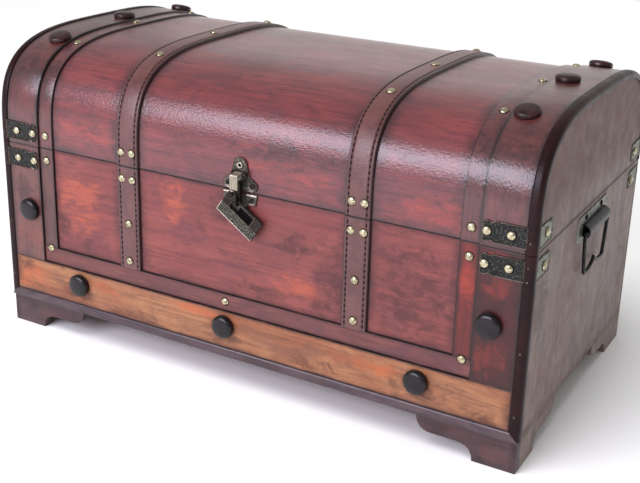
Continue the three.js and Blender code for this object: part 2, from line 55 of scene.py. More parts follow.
# Sizes that the pieces share with the part
HALF_WIDTH = 300
DEPTH = 332
BODY_HIGH = 211
LID_FOOT = 211.6
LID_RISE = 113
ARCH_POWER = 3.6
FOOT_HIGH = 32
MOULD_TOP = 42
TAN_TOP = 82
CROSS_TOP = 100
BEAD_INNER = 290
BAND_INNER = 249
STRIP_INNER = 231
END_FACE = 298.5
END_INNER = 289.5
PANEL_INSET = 5
STRIP_INSET = 3
STRAP_INSET = 2
BAND_INSET = 1
BEAD_DEEP = 7
STRAP_CENTRE = 131
STRAP_WIDE = 26
HASP_X = 4
PLATE_FACE = 3.5
BOX_PLATE_Z = 196
LID_PLATE_Z = 226
SIDES = (("left", -1), ("right", 1))
FORWARD = (0, -1, 0)

# Places worked out from them
SEAM = (BODY_HIGH + LID_FOOT) / 2
HALF_STRAP = STRAP_WIDE / 2
STRIP_MIDDLE = (STRIP_INNER + BAND_INNER) / 2
HALF_DEPTH = DEPTH / 2
QUARTER_TURN = math.pi / 2

# Camera, from the chest's own sizes fitted to the photograph
FOCAL_PX = 1120.2
IMAGE_WIDE = 640
IMAGE_HIGH = 483
CENTRE_PX = 200
CAMERA_AT = (560.9, -838.6, 564.0)
CAMERA_RIGHT = (0.868702, 0.494678, 0.025507)
CAMERA_UP = (-0.187344, 0.280453, 0.941407)
CAMERA_BACK = (0.458540, -0.822581, 0.336306)
SENSOR = 36
CLIP_NEAR = 0.05
CLIP_FAR = 50


def add_object(name, data):
    """A new object in the scene."""
    thing = bpy.data.objects.new(name, data)
    bpy.context.scene.collection.objects.link(thing)
    return thing


def make_camera():
    data = bpy.data.cameras.new("camera")
    data.sensor_width = SENSOR
    data.lens = FOCAL_PX / IMAGE_WIDE * SENSOR
    data.shift_y = (CENTRE_PX - IMAGE_HIGH / 2) / IMAGE_WIDE
    data.clip_start = CLIP_NEAR
    data.clip_end = CLIP_FAR
    camera = add_object("camera", data)
    turn = Matrix((CAMERA_RIGHT, CAMERA_UP, CAMERA_BACK)).transposed()
    camera.matrix_world = Matrix.Translation(place(*CAMERA_AT)) @ turn.to_4x4()
    bpy.context.scene.camera = camera


make_camera()

# How far one seed moves a noise along x, y and z, in cells
SEED_MOVES = (1, 1.7, 2.3)


class Graph:
    """The nodes of one material. Its calls return sockets to pass on."""

    def __init__(self, name):
        self.material = bpy.data.materials.new(name)
        self.material.use_nodes = True
        self.tree = self.material.node_tree
        coords = self.node("TexCoord", {})["Object"]
        self.where = self.scaled(coords, (1 / MM, 1 / MM, 1 / MM), (0, -FRONT / MM, 0))
        self.x, self.y, self.z = self.node("SeparateXYZ", {0: self.where})

    def fill(self, sockets, values):
        """Links or sets sockets, by name or number. None leaves one as it is."""
        for key, value in values.items():
            if isinstance(value, bpy.types.NodeSocket):
                self.tree.links.new(value, sockets[key])
            elif isinstance(value, tuple) and len(sockets[key].default_value) == 4:
                sockets[key].default_value = (*value, 1)
            elif value is not None:
                sockets[key].default_value = value

    def node(self, kind, values, **settings):
        """The outputs of a new node."""
        node = self.tree.nodes.new("ShaderNode" + kind)
        for name, setting in settings.items():
            setattr(node, name, setting)
        self.fill(node.inputs, values)
        return node.outputs

    def scaled(self, vector, by, move):
        """vector times by, plus move."""
        return self.node("VectorMath", {0: vector, 1: by, 2: move}, operation="MULTIPLY_ADD")[0]

    def math(self, operation, a, b=0.0):
        return self.node("Math", {0: a, 1: b}, operation=operation)[0]

    def plus(self, a, b):
        return self.math("ADD", a, b)

    def minus(self, a, b):
        return self.math("SUBTRACT", a, b)

    def times(self, a, b):
        return self.math("MULTIPLY", a, b)

    def off(self, axis, at):
        """How far a point is from a place along one axis."""
        return self.math("ABSOLUTE", self.minus(axis, at))

    def noise(self, cells, detail=4.0, rough=0.55, warp=0.0, seed=0.0):
        """Noise at so many cells per mm along x, y and z, or one number for all three."""
        if not isinstance(cells, tuple):
            cells = (cells, cells, cells)
        moved = self.scaled(self.where, cells, tuple(seed * move for move in SEED_MOVES))
        return self.node("TexNoise", {"Vector": moved, "Scale": 1, "Detail": detail, "Roughness": rough,
                                      "Distortion": warp})[0]

    def span(self, value, low, high, to_low=0.0, to_high=1.0):
        """value from low..high onto to_low..to_high, eased and clamped."""
        return self.node("MapRange", {0: value, 1: low, 2: high, 3: to_low, 4: to_high},
                         interpolation_type="SMOOTHSTEP", clamp=True)[0]

    def mix(self, share, a, b):
        return self.node("Mix", {0: share, 6: a, 7: b}, data_type="RGBA")[2]

    def layer(self, color, noise, low, high, over, share=1.0):
        """color, covered by over where noise rises from low to high, up to a share."""
        return self.mix(self.span(noise, low, high, 0, share), color, over)

    def near(self, axis, at, reach):
        """1 at a place along one axis, falling to 0 at reach mm from it."""
        return self.span(self.off(axis, at), 0, reach, 1, 0)

    def blob(self, patch, across, rag):
        """1 in the middle of a soft patch in across and z, with its edge moved by rag."""
        middle, z, wide, high = patch
        dx = self.math("DIVIDE", self.minus(across, middle), wide)
        dz = self.math("DIVIDE", self.minus(self.z, z), high)
        away = self.plus(self.times(dx, dx), self.times(dz, dz))
        return self.span(self.plus(away, rag), 0, 1, 1, 0)

    def most(self, values):
        """The greatest of several values."""
        total = values[0]
        for value in values[1:]:
            total = self.math("MAXIMUM", total, value)
        return total

    def bump(self, height, distance, strength=1.0, normal=None):
        return self.node("Bump", {"Strength": strength, "Distance": distance * MM, "Height": height,
                                  "Normal": normal})[0]

    def finish(self, color, rough, metallic=0.0, normal=None, coat=0.0, coat_rough=0.2, specular=0.5):
        """Sets the shader, and gives the material."""
        self.fill(self.tree.nodes["Principled BSDF"].inputs, {
            "Base Color": color, "Roughness": rough, "Metallic": metallic,
            "Specular IOR Level": specular, "Coat Weight": coat, "Coat Roughness": coat_rough,
            "Normal": normal, "Coat Normal": normal if coat else None})
        return self.material


def srgb(red, green, blue):
    """A display colour of 0 to 255 as linear light."""
    def linear(value):
        share = value / 255
        return share / 12.92 if share <= 0.04045 else ((share + 0.055) / 1.055) ** 2.4
    return (linear(red), linear(green), linear(blue))


# Wood: noise cells per mm for a grain that runs along x or up z
GRAIN = {"x": (0.012, 0.35, 0.35), "z": (0.35, 0.35, 0.012)}
FIBRE = {"x": (0.06, 1.6, 1.6), "z": (1.6, 1.6, 0.06)}
PORE = {"x": (0.2, 0.9, 0.9), "z": (0.9, 0.9, 0.2)}
CLOUD = {"x": (0.009, 0.022, 0.022), "z": (0.03, 0.03, 0.012)}
BLOOM = {"x": (0.022, 0.06, 0.06), "z": (0.06, 0.06, 0.022)}
STREAK = {"x": (0.012, 0.12, 0.12), "z": (0.08, 0.08, 0.014)}
SMUDGE = (0.02, 0.04, 0.04)
RAGGED = (0.045, 0.07, 0.07)
BLOT = (0.03, 0.06, 0.06)
# Cells for the darker stain beside raised parts, partly rubbed finish and partly painted shade
RUB_AND_SHADE = (0.03, 0.05, 0.05)
GLOSS = (0.02, 0.05, 0.05)
# Cells for the fading of the painted shadow lines
SHADOW_LINE_FADE = 0.05
ORANGE_PEEL = 0.35

# A mauve bloom over the middle colour, and how far noise moves the edge of a patch
MAUVE_SHIFT = (0.74, 0.86, 1.08)
RAG_MIDDLE = 0.45
RAG_REACH = 4

# The end boards turn from the box's grey to the lid's brown over this height
UPPER_RISE = 50


def wood(name, colors, axis, seed, rough=0.42, coat=0.06, warm=(), dark=(), rub_and_shade=(), shadow_lines=(),
         grain_share=0.5, shine=0.35, along="x", upper=None, warm_share=0.75, coat_rough=0.25,
         relief=0.13, inner=None):
    """Stained wood under lacquer. colors are dark, mid, light, and warm if used.
    warm and dark are patches (x or y, z, wide, high). The rubbed places give, for each axis, the
    (place, reach) where the stain is darker beside raised parts, partly a rubbed antique finish and
    partly painted shade. The shadow lines give the same for the narrow dark lines beside raised strips
    and at the seam, which are painted shadows. upper is a colour that takes over above the seam, and
    inner the colours of the faces towards the inside of the chest."""
    g = Graph(name)
    shade, mid, light, *hot = [srgb(*stain) for stain in colors]
    mauve = tuple(part * share for part, share in zip(mid, MAUVE_SHIFT))
    across = g.y if along == "y" else g.x
    axes = {"y": g.y, "z": g.z, "absx": g.math("ABSOLUTE", g.x)}
    grain = g.noise(GRAIN[axis], 5, 0.6, 0.4, seed)
    pore = g.noise(PORE[axis], 2, 0.5, 0, seed + 83)
    cloud = g.noise(CLOUD[axis], 4, 0.6, 0.8, seed + 11)
    bloom = g.noise(BLOOM[axis], 5, 0.68, 0.6, seed + 113)
    fibre = g.noise(FIBRE[axis], 3, 0.6, 0, seed + 5)
    smudge = g.noise(SMUDGE, 3, 0.6, 0.5, seed + 23)
    color = g.layer(mid, cloud, 0.36, 0.66, light)
    color = g.layer(color, bloom, 0.46, 0.66, mauve, 0.75)
    color = g.layer(color, grain, 0.42, 0.72, shade, grain_share)
    color = g.layer(color, fibre, 0.5, 0.8, shade, 0.4)
    color = g.layer(color, pore, 0.58, 0.74, shade, 0.4)
    color = g.layer(color, smudge, 0.56, 0.76, shade, 0.55)
    if upper:
        color = g.mix(g.span(g.z, BODY_HIGH, BODY_HIGH + UPPER_RISE, 0.2, 0.8), color, srgb(*upper))
    if inner:
        behind = g.span(axes["absx"], END_INNER + 0.6, END_INNER + 1.2, 1, 0)
        inner_mid, inner_light = [srgb(*stain) for stain in inner[1:]]
        color = g.mix(behind, color, g.layer(inner_mid, cloud, 0.36, 0.66, inner_light))

    edge = g.noise(RAGGED, 5, 0.7, 0.8, seed + 97)
    rag = g.times(g.minus(edge, RAG_MIDDLE), RAG_REACH)
    front_part = g.span(g.y, DEPTH * 0.3, DEPTH * 0.5, 1, 0) if along == "x" else 1

    def patches(places):
        """Ragged patches, on the chest's front half or all along an end board."""
        return g.times(g.most([g.blob(spot, across, rag) for spot in places]), front_part)

    def beside(places):
        return g.most([g.near(axes[way], *spot) for way in places for spot in places[way]])

    if warm:
        streak = g.noise(STREAK[axis], 4, 0.6, 1.0, seed + 31)
        cover = g.span(streak, 0.3, 0.62, 0.2 * warm_share, warm_share)
        color = g.mix(g.times(patches(warm), cover), color, hot[0])
    if dark:
        cover = g.span(g.noise(BLOT, 3, 0.6, 0.5, seed + 41), 0.3, 0.6, 0.2, 0.85)
        color = g.mix(g.times(patches(dark), cover), color, shade)
    # Darker stain beside raised parts: partly a rubbed antique finish, partly painted shade
    if rub_and_shade:
        cover = g.span(g.noise(RUB_AND_SHADE, 4, 0.65, 0.6, seed + 51), 0.3, 0.7, 0.25, 1)
        color = g.mix(g.times(beside(rub_and_shade), cover), color, shade)
    # Painted shadows: narrow dark lines beside raised strips and at the seam between lid and box
    if shadow_lines:
        cover = g.span(g.noise(SHADOW_LINE_FADE, 2, 0.5, 0, seed + 91), 0.3, 0.6, 0.7, 1)
        color = g.mix(g.times(beside(shadow_lines), cover), color, SHADOW_LINE)
    peel = g.noise(ORANGE_PEEL, 2, 0.5, 0, seed + 61)
    normal = g.bump(g.plus(peel, pore), relief, 0.7, g.bump(grain, 0.12, 0.6))
    gloss = g.span(g.noise(GLOSS, 3, 0.6, 0, seed + 71), 0.3, 0.7, rough - 0.06, rough + 0.08)
    return g.finish(color, gloss, normal=normal, coat=coat, coat_rough=coat_rough, specular=shine)


# Stains: dark, mid, light, and warm where there are warm patches
RED = ((52, 23, 27), (102, 45, 48), (122, 53, 54), (160, 58, 50))
FRONT_RED = ((76, 40, 41), (122, 62, 61), (136, 71, 66), (174, 86, 62))
CROSS = ((66, 38, 38), (104, 60, 58), (118, 70, 66), (132, 74, 64))
LEFT_BAND = ((64, 40, 38), (98, 62, 58), (114, 74, 68), (128, 66, 56))
RIGHT_BAND = ((34, 14, 14), (60, 20, 20), (74, 25, 24), (124, 41, 33))
LID_TRIM = ((46, 24, 24), (84, 41, 41), (100, 50, 48))
LEFT_STRIP = ((56, 38, 36), (84, 57, 54), (98, 66, 62), (108, 62, 54))
RIGHT_STRIP = ((46, 16, 16), (94, 30, 27), (112, 37, 32), (150, 52, 38))
TAN = ((82, 46, 34), (140, 86, 60), (162, 112, 78), (176, 92, 54))
MAROON = ((14, 5, 6), (29, 10, 12), (42, 15, 17))
MOULDING = ((34, 22, 25), (68, 49, 53), (88, 69, 74))
INSIDE = ((60, 30, 26), (104, 58, 46), (120, 70, 56))
GREY = ((96, 78, 73), (136, 118, 113), (156, 141, 132), (118, 84, 75))
UPPER_GREY = (84, 53, 49)
FOOT = ((38, 24, 26), (66, 45, 48), (82, 60, 63), (90, 56, 50))
# The colour of the painted shadow lines
SHADOW_LINE = srgb(22, 9, 10)

# Painted shadow lines beside raised strips and at the seam, and places where the stain is darker,
# partly rubbed and partly painted shade, as (place, reach) along an axis. absx is x on either side.
SEAM_SHADOW = ((SEAM, 2.0),)
PANEL_SHADOWS = ((STRAP_CENTRE - HALF_STRAP, 2.6), (STRAP_CENTRE + HALF_STRAP, 2.6), (STRIP_INNER, 2.6))
STRIP_SHADOWS = ((BAND_INNER, 2.8), (STRIP_INNER, 1.2))
BAND_SHADOWS = ((BAND_INNER, 1.2), (BEAD_INNER, 2.4))
BAND_RUBS_AND_SHADES = ((TAN_TOP, 8), (BODY_HIGH, 6))
STRIP_RUBS_AND_SHADES = ((CROSS_TOP, 6),)
STRAP_LEFT_RUB_AND_SHADE = 118
STRAP_RIGHT_RUB_AND_SHADE = 145
STRIP_RUB_AND_SHADE = 230

# Lacquer of the arched lid, and of the raised bands and strips on the box, with the painted shadow lines
# beside them
LID_GLOSS = {"rough": 0.45, "coat": 1.0, "coat_rough": 0.2, "relief": 0.24, "shine": 0.25}
BAND_GLOSS = {"coat": 0.2, "shine": 0.4, "shadow_lines": {"absx": BAND_SHADOWS}}
STRIP_GLOSS = {"coat": 0.2, "shine": 0.4, "shadow_lines": {"absx": STRIP_SHADOWS, "z": SEAM_SHADOW}}

lid_wood = wood(
    "lid_wood", RED, "x", 2, **LID_GLOSS, shadow_lines={"absx": PANEL_SHADOWS, "z": SEAM_SHADOW}, warm_share=0.55,
    warm=((225, 232, 60, 24), (60, 240, 70, 16), (-180, 238, 60, 16)),
    dark=((60, 255, 80, 20), (250, 268, 40, 16)),
    rub_and_shade={"absx": ((STRAP_LEFT_RUB_AND_SHADE, 14), (STRAP_RIGHT_RUB_AND_SHADE, 14), (STRIP_RUB_AND_SHADE, 12)),
             "z": ((LID_FOOT, 10),)})
lid_trim_wood = wood(
    "lid_trim_wood", LID_TRIM, "z", 14, **LID_GLOSS,
    shadow_lines={"absx": STRIP_SHADOWS + BAND_SHADOWS, "z": SEAM_SHADOW},
    dark=((-262, 290, 40, 24), (262, 285, 40, 30), (274, 256, 22, 10)),
    rub_and_shade={"absx": ((BEAD_INNER, 8), (BAND_INNER, 5)), "z": ((LID_FOOT, 6),)})
front_wood = wood(
    "front_wood", FRONT_RED, "x", 7, warm_share=0.74,
    shadow_lines={"absx": PANEL_SHADOWS, "z": (*SEAM_SHADOW, (CROSS_TOP, 2.4))},
    warm=((-78, 190, 24, 32), (-76, 180, 15, 24), (-196, 158, 40, 46), (70, 125, 34, 16)),
    dark=((105, 140, 24, 60), (105, 110, 34, 20), (-110, 112, 16, 14), (192, 150, 52, 70),
          (30, 112, 40, 12), (66, 166, 34, 18), (-222, 124, 14, 26), (-20, 190, 24, 20)),
    rub_and_shade={"absx": ((STRAP_LEFT_RUB_AND_SHADE, 12), (STRAP_RIGHT_RUB_AND_SHADE, 12), (STRIP_RUB_AND_SHADE, 10)),
             "z": ((CROSS_TOP, 9), (BODY_HIGH, 7))})
band_woods = {
    "left": wood("left_band_wood", LEFT_BAND, "z", 13, **BAND_GLOSS, warm_share=0.5,
                 warm=((-262, 112, 30, 34),), dark=((-272, 160, 16, 20),),
                 rub_and_shade={"absx": ((BEAD_INNER, 8), (BAND_INNER, 5)), "z": BAND_RUBS_AND_SHADES}),
    "right": wood("right_band_wood", RIGHT_BAND, "z", 15, **BAND_GLOSS, warm_share=0.65,
                  warm=((268, 176, 20, 14), (262, 205, 26, 10), (266, 112, 20, 26)),
                  rub_and_shade={"absx": ((BEAD_INNER, 10), (BAND_INNER, 6)), "z": BAND_RUBS_AND_SHADES})}
strip_woods = {
    "left": wood("left_strip_wood", LEFT_STRIP, "z", 17, **STRIP_GLOSS, warm_share=0.4,
                 warm=((-238, 175, 12, 24),),
                 rub_and_shade={"absx": ((STRIP_INNER, 4), (BAND_INNER, 4)), "z": STRIP_RUBS_AND_SHADES}),
    "right": wood("right_strip_wood", RIGHT_STRIP, "z", 18, **STRIP_GLOSS,
                  warm=((240, 175, 16, 30),),
                  rub_and_shade={"absx": ((STRIP_INNER, 5), (BAND_INNER, 4)), "z": STRIP_RUBS_AND_SHADES})}
cross_wood = wood(
    "cross_wood", CROSS, "x", 19, warm=((-190, 90, 50, 8),), warm_share=0.4,
    shadow_lines={"z": ((CROSS_TOP, 1.0), (TAN_TOP, 1.8))}, rub_and_shade={"z": ((TAN_TOP, 5), (CROSS_TOP, 4))})
tan_wood = wood(
    "tan_wood", TAN, "x", 23, coat=0.05, grain_share=0.45,
    shadow_lines={"z": ((TAN_TOP, 1.8), (MOULD_TOP, 2.6)), "absx": ((BEAD_INNER, 2.4),)},
    warm=((-272, 62, 44, 26), (-168, 70, 26, 9), (-40, 74, 50, 8), (150, 68, 50, 10)),
    dark=((-199, 60, 34, 22), (-13, 56, 30, 18), (199, 62, 34, 20), (-120, 46, 50, 12),
          (90, 52, 40, 10), (262, 50, 26, 14), (-275, 74, 16, 12)),
    rub_and_shade={"z": ((MOULD_TOP, 7), (TAN_TOP, 4)), "absx": ((BEAD_INNER, 12),)})
edge_wood = wood("edge_wood", MAROON, "x", 29, 0.34, 0.0, grain_share=0.4, shine=0.18)
moulding_wood = wood("moulding_wood", MOULDING, "x", 30, 0.34, 0.2, shine=0.4,
                     rub_and_shade={"z": ((FOOT_HIGH, 4), (MOULD_TOP, 2.4))})
end_wood = wood(
    "end_wood", GREY, "z", 31, 0.48, 0.0, grain_share=0.3, shine=0.2, upper=UPPER_GREY, inner=INSIDE,
    along="y", warm=((90, 290, 110, 70), (250, 280, 120, 60), (110, 120, 60, 80), (60, 70, 50, 50)),
    dark=((30, 170, 20, 70), (300, 90, 30, 60)), warm_share=0.5, shadow_lines={"z": ((LID_FOOT, 1.2),)},
    rub_and_shade={"z": ((LID_FOOT, 5), (34, 10)), "y": ((4, 16), (DEPTH, 10))})
foot_wood = wood(
    "foot_wood", FOOT, "x", 37, 0.4, 0.1, grain_share=0.4, warm_share=0.6,
    warm=((-250, 16, 20, 10), (236, 26, 26, 7), (276, 12, 20, 10)),
    dark=((222, 22, 14, 8), (-276, 24, 14, 10)), rub_and_shade={"absx": ((297, 8),)})
inside_wood = wood("inside_wood", INSIDE, "x", 41, 0.55, 0.0, shine=0.2)

STITCH_ROW = HALF_STRAP - 3.4


def leather_look():
    """Brown leather, dark along its edges, with painted shade in the groove under each row of stitches
    and a painted shadow line at the seam.
    """
    g = Graph("strap_leather")
    dark, mid, light = srgb(45, 21, 22), srgb(84, 46, 45), srgb(99, 59, 56)
    tone = g.noise((0.05, 0.03, 0.03), 4, 0.6, 0.4)
    pores = g.noise(1.1, 3, 0.6)
    crease = g.noise((0.12, 0.5, 0.5), 4, 0.65, 0.8, 9)
    color = g.layer(mid, tone, 0.36, 0.66, light)
    color = g.layer(color, pores, 0.52, 0.75, dark, 0.4)
    from_middle = g.off(g.math("ABSOLUTE", g.x), STRAP_CENTRE)
    color = g.layer(color, from_middle, HALF_STRAP - 2.4, HALF_STRAP - 0.4, dark, 0.85)
    # Painted shadow line at the seam between lid and box
    color = g.mix(g.near(g.z, SEAM, 2.2), color, SHADOW_LINE)
    # Painted shade in the groove under each row of stitches
    groove = g.near(from_middle, STITCH_ROW, 1.6)
    color = g.mix(g.times(groove, 0.5), color, dark)
    height = g.minus(g.plus(pores, crease), groove)
    return g.finish(color, g.span(tone, 0.3, 0.7, 0.32, 0.42), normal=g.bump(height, 0.3, 0.8),
                    specular=0.4, coat=0.5, coat_rough=0.24)


def metal(name, dark, mid, light, rough, mottle=0.25, bump=0.1, metallic=0.9, seed=0, fine=4):
    """A metal with a worn, mottled face. fine is how many times finer its wear is than its mottling."""
    g = Graph(name)
    cells = mottle if isinstance(mottle, tuple) else (mottle, mottle, mottle)
    tone = g.noise(cells, 5, 0.65, 0.3, seed)
    wear = g.noise(tuple(cell * fine for cell in cells), 3, 0.6, 0, seed + 7)
    color = g.layer(srgb(*dark), tone, 0.35, 0.6, srgb(*mid))
    color = g.layer(color, wear, 0.5, 0.72, srgb(*light))
    shine = g.span(tone, 0.3, 0.7, rough + 0.08, rough - 0.06)
    return g.finish(color, shine, metallic, normal=g.bump(g.plus(tone, wear), bump))


def dull(name, dark, light, cells, rough, bump, specular):
    """A matt stuff of two colours."""
    g = Graph(name)
    tone = g.noise(cells, 3, 0.6)
    color = g.layer(srgb(*dark), tone, 0.35, 0.65, srgb(*light))
    return g.finish(color, rough, normal=g.bump(tone, bump), specular=specular)


def knob_look(name, dark, light, worn):
    g = Graph(name)
    tone = g.noise(0.12, 4, 0.6)
    grain = g.noise((0.15, 0.7, 0.7), 4, 0.6, 0.3, 4)
    color = g.layer(srgb(*dark), tone, 0.35, 0.65, srgb(*light))
    color = g.layer(color, grain, 0.5, 0.75, srgb(*worn), 0.6)
    gloss = g.span(tone, 0.3, 0.7, 0.24, 0.34)
    return g.finish(color, gloss, normal=g.bump(grain, 0.15, 0.5), coat=0.1, specular=0.35)


leather = leather_look()
stitch = dull("stitch_thread", (14, 7, 8), (32, 16, 17), 1.5, 0.6, 0.1, 0.2)
# Flat black: painted shade in hollows (the eyelet's hole, the open ends of the handle rolls, the back of
# the padlock's slot), the handles' screw heads, and dirt with painted shade under the nails
black_and_shade = dull("black_and_shade", (5, 4, 4), (14, 11, 11), 0.4, 0.9, 0.05, 0.08)
knob_wood = knob_look("turned_knob", (9, 6, 9), (22, 17, 21), (42, 33, 35))
lid_knob_wood = knob_look("turned_lid_knob", (26, 11, 13), (52, 24, 25), (74, 46, 44))
plate_bronze = metal("plate_bronze", (12, 12, 12), (34, 34, 33), (84, 86, 80), 0.3,
                     0.3, 0.2, 0.6, fine=1.7)
plate_rim = metal("plate_rim", (56, 48, 44), (96, 84, 76), (150, 136, 120), 0.34, 0.4, 0.05, seed=3)
side_bronze = metal("side_bronze", (84, 86, 76), (118, 120, 108), (150, 150, 136), 0.42,
                    0.2, 0.1, 0.6, 6)
brass = metal("nail_brass", (108, 96, 62), (204, 194, 156), (246, 242, 222), 0.22, 0.32, 0.0, seed=9)
dark_bronze = metal("dark_bronze", (28, 26, 24), (52, 48, 44), (88, 82, 74), 0.4, 0.4, 0.08, seed=31)
brushed = metal("brushed_bronze", (118, 110, 94), (156, 147, 128), (192, 184, 166), 0.4,
                (0.9, 0.9, 0.05), 0.06, 0.75, 35)
hasp_metal = metal("hasp_bronze", (58, 56, 50), (98, 95, 86), (150, 146, 134), 0.32, 0.3, 0.08, seed=12)
# Pale rubbed metal, also used as a painted highlight on the staple plate's top edges
rubbed_highlight = metal("rubbed_edge_highlight", (166, 156, 138), (200, 192, 176), (232, 226, 214), 0.3, 0.5, 0.04, seed=15)
pad_metal = metal("padlock_bronze", (20, 20, 16), (62, 62, 52), (158, 156, 138), 0.42,
                  0.5, 0.6, 0.75, 18, 1.5)
dark_iron = metal("dark_iron", (18, 16, 16), (36, 34, 34), (74, 76, 76), 0.34, 0.3, 0.1, 0.7, 21)
worn_iron = metal("worn_iron", (88, 88, 86), (134, 134, 130), (178, 178, 172), 0.42, 0.15, 0.1, 0.6, 24)
hinge_steel = metal("hinge_steel", (96, 92, 86), (112, 108, 101), (126, 121, 113), 0.4,
                    0.1, 0.03, seed=27)


# Meshes
MERGE = 0.00001


def make_piece(name, shape, materials, body, slot, stands_for=(), crease=35, which=None):
    """A mesh piece from drawn points and faces. which gives each face's material number."""
    points, faces = shape
    mesh = bpy.data.meshes.new(name)
    mesh.from_pydata([place(*point) for point in points], [], faces)
    build = bmesh.new()
    build.from_mesh(mesh)
    if which:
        for face, number in zip(build.faces, which):
            face.material_index = number
    bmesh.ops.remove_doubles(build, verts=build.verts, dist=MERGE)
    bmesh.ops.recalc_face_normals(build, faces=build.faces)
    build.to_mesh(mesh)
    build.free()
    for material in materials if isinstance(materials, list) else [materials]:
        mesh.materials.append(material)
    mesh.shade_smooth()
    mesh.set_sharp_from_angle(angle=math.radians(crease))
    piece = add_object(name, mesh)
    if stands_for:
        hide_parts(*([stands_for] if isinstance(stands_for, str) else stands_for))
    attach(piece, body)
    return piece


def soften(piece, width, segments=2, angle=35):
    """Rounds a piece's sharp edges."""
    bevel = piece.modifiers.new("soften", "BEVEL")
    bevel.width = width * MM
    bevel.segments = segments
    bevel.limit_method = "ANGLE"
    bevel.angle_limit = math.radians(angle)
    bevel.use_clamp_overlap = True


def keep(name, material, width=0.0, segments=2):
    """A CAD node that stays, with its edges softened."""
    node = nodes[name]
    node.data.materials.clear()
    node.data.materials.append(material)
    if width:
        weld = node.modifiers.new("weld", "WELD")
        weld.merge_threshold = MERGE
        soften(node, width, segments)


def loft(rings, closed=False):
    """Points and faces through rings of points, closed at both ends or into a loop."""
    size, count = len(rings[0]), len(rings)
    points = [point for ring in rings for point in ring]
    faces = []
    for ring in range(count if closed else count - 1):
        a, b = ring * size, (ring + 1) % count * size
        for i in range(size):
            j = (i + 1) % size
            faces.append((a + i, a + j, b + j, b + i))
    if not closed:
        faces += [tuple(range(size)), tuple(range(size * (count - 1), size * count))]
    return points, faces


def joined(shapes):
    """Several shapes as one."""
    points, faces = [], []
    for more_points, more_faces in shapes:
        base = len(points)
        points += more_points
        faces += [tuple(base + i for i in face) for face in more_faces]
    return points, faces


def curve(a, b, c, steps):
    """A quadratic curve from a by b to c, without its first point."""
    a, b, c = Vector(a), Vector(b), Vector(c)
    shares = [k / steps for k in range(1, steps + 1)]
    return [tuple(a * (1 - t) ** 2 + b * 2 * t * (1 - t) + c * t * t) for t in shares]


def trace(*steps, fine=6):
    """A path through points. A pair of points is a curve by the first to the second."""
    path = []
    for step in steps:
        path += curve(path[-1], *step, fine) if isinstance(step[0], tuple) else [step]
    return path


def arc(x, z, radius, start, end, steps=10):
    turns = [start + (end - start) * k / steps for k in range(steps + 1)]
    return [(x + radius * math.cos(turn), z + radius * math.sin(turn)) for turn in turns]


# The lid's arch
ARCH_STEPS = 96
FINE_STEPS = 600


def arch_point(inset, step, steps=ARCH_STEPS):
    """y and z of one step along the arch, from the front seam over to the back one."""
    angle = math.pi * step / steps
    reach = 0 if step * 2 == steps else abs(math.cos(angle)) ** (2 / ARCH_POWER)
    rise = 0 if step in (0, steps) else abs(math.sin(angle)) ** (2 / ARCH_POWER)
    side = 1 if step * 2 > steps else -1
    return HALF_DEPTH + side * reach * (HALF_DEPTH - inset), LID_FOOT + rise * (LID_RISE - inset)


def sweep(section, path_of, count):
    """A section of (x, inset) carried along a path."""
    return loft([[(x, *path_of(inset, step)) for x, inset in section] for step in range(count + 1)])


def over_arch(node, suffix, section, material, slot, **options):
    shape = sweep(section, arch_point, ARCH_STEPS)
    make_piece(f"{node}_{suffix}", shape, material, "lid", slot, node, **options)


def mirrored(section, side):
    return section if side > 0 else [(-x, inset) for x, inset in reversed(section)]


EDGE_SOFT = 0.6
BEAD_ROUND = 5
BEAD_SOFT = 1.4
MITRE_GAP = 0.1
SKIN_THICK = 4.5


def flat_section(x0, x1, top):
    """A band's section, with its two outer corners rounded."""
    low, near, far = top + EDGE_SOFT, x0 + EDGE_SOFT, x1 - EDGE_SOFT
    return trace((x0, low), ((x0, top), (near, top)), (far, top), ((x1, top), (x1, low)),
                 (x1, PANEL_INSET), (x0, PANEL_INSET), fine=3)


def bead_section():
    """The bead: a square inner edge, a soft inner corner and a round outer one."""
    inner = trace((BEAD_INNER, BEAD_DEEP), (BEAD_INNER, BEAD_SOFT),
                  ((BEAD_INNER, 0), (BEAD_INNER + BEAD_SOFT, 0)), fine=4)
    outer = arc(HALF_WIDTH - BEAD_ROUND, BEAD_ROUND, BEAD_ROUND, -QUARTER_TURN, 0)
    return inner + outer + [(HALF_WIDTH, BEAD_DEEP)]


def lid_pieces():
    under = PANEL_INSET + SKIN_THICK
    skin = rectangle(-BEAD_INNER, BEAD_INNER, PANEL_INSET, under)
    over_arch("lid_skin", "lacquered", skin, [lid_wood, inside_wood], "mahogany",
              which=[0, 1, 1, 1] * ARCH_STEPS + [1, 1])
    band = flat_section(BAND_INNER, BEAD_INNER, BAND_INSET)
    strip = flat_section(STRIP_INNER, BAND_INNER, STRIP_INSET)
    for name, side in SIDES:
        for part, section, material, slot in (("end_band", band, lid_trim_wood, "mahogany"),
                                              ("narrow_strip", strip, lid_trim_wood, "mahogany"),
                                              ("arch_bead", bead_section(), edge_wood, "dark_edge")):
            over_arch(f"{name}_lid_{part}", "rounded", mirrored(section, side), material, slot)
        lid_end(name, side)


def lid_end(name, side):
    """The arched end board, stained inside."""
    outline = [arch_point(BEAD_DEEP, step) for step in range(ARCH_STEPS + 1)]
    shape = loft([[(side * x, y, z) for y, z in outline] for x in (BEAD_INNER, END_FACE)])
    make_piece(name + "_lid_end_smooth", shape, [inside_wood, end_wood], "lid", "end_wood",
               name + "_lid_end", which=[1] * len(outline) + [0, 1])


# Straps and stitches
STITCH_PITCH = 5.6
STITCH_LONG = 3.9
STITCH_WIDE = 2.8
STITCH_SUNK = 0.7
STITCH_TAPER = 0.6
STITCH_BED = STRAP_INSET + 0.45
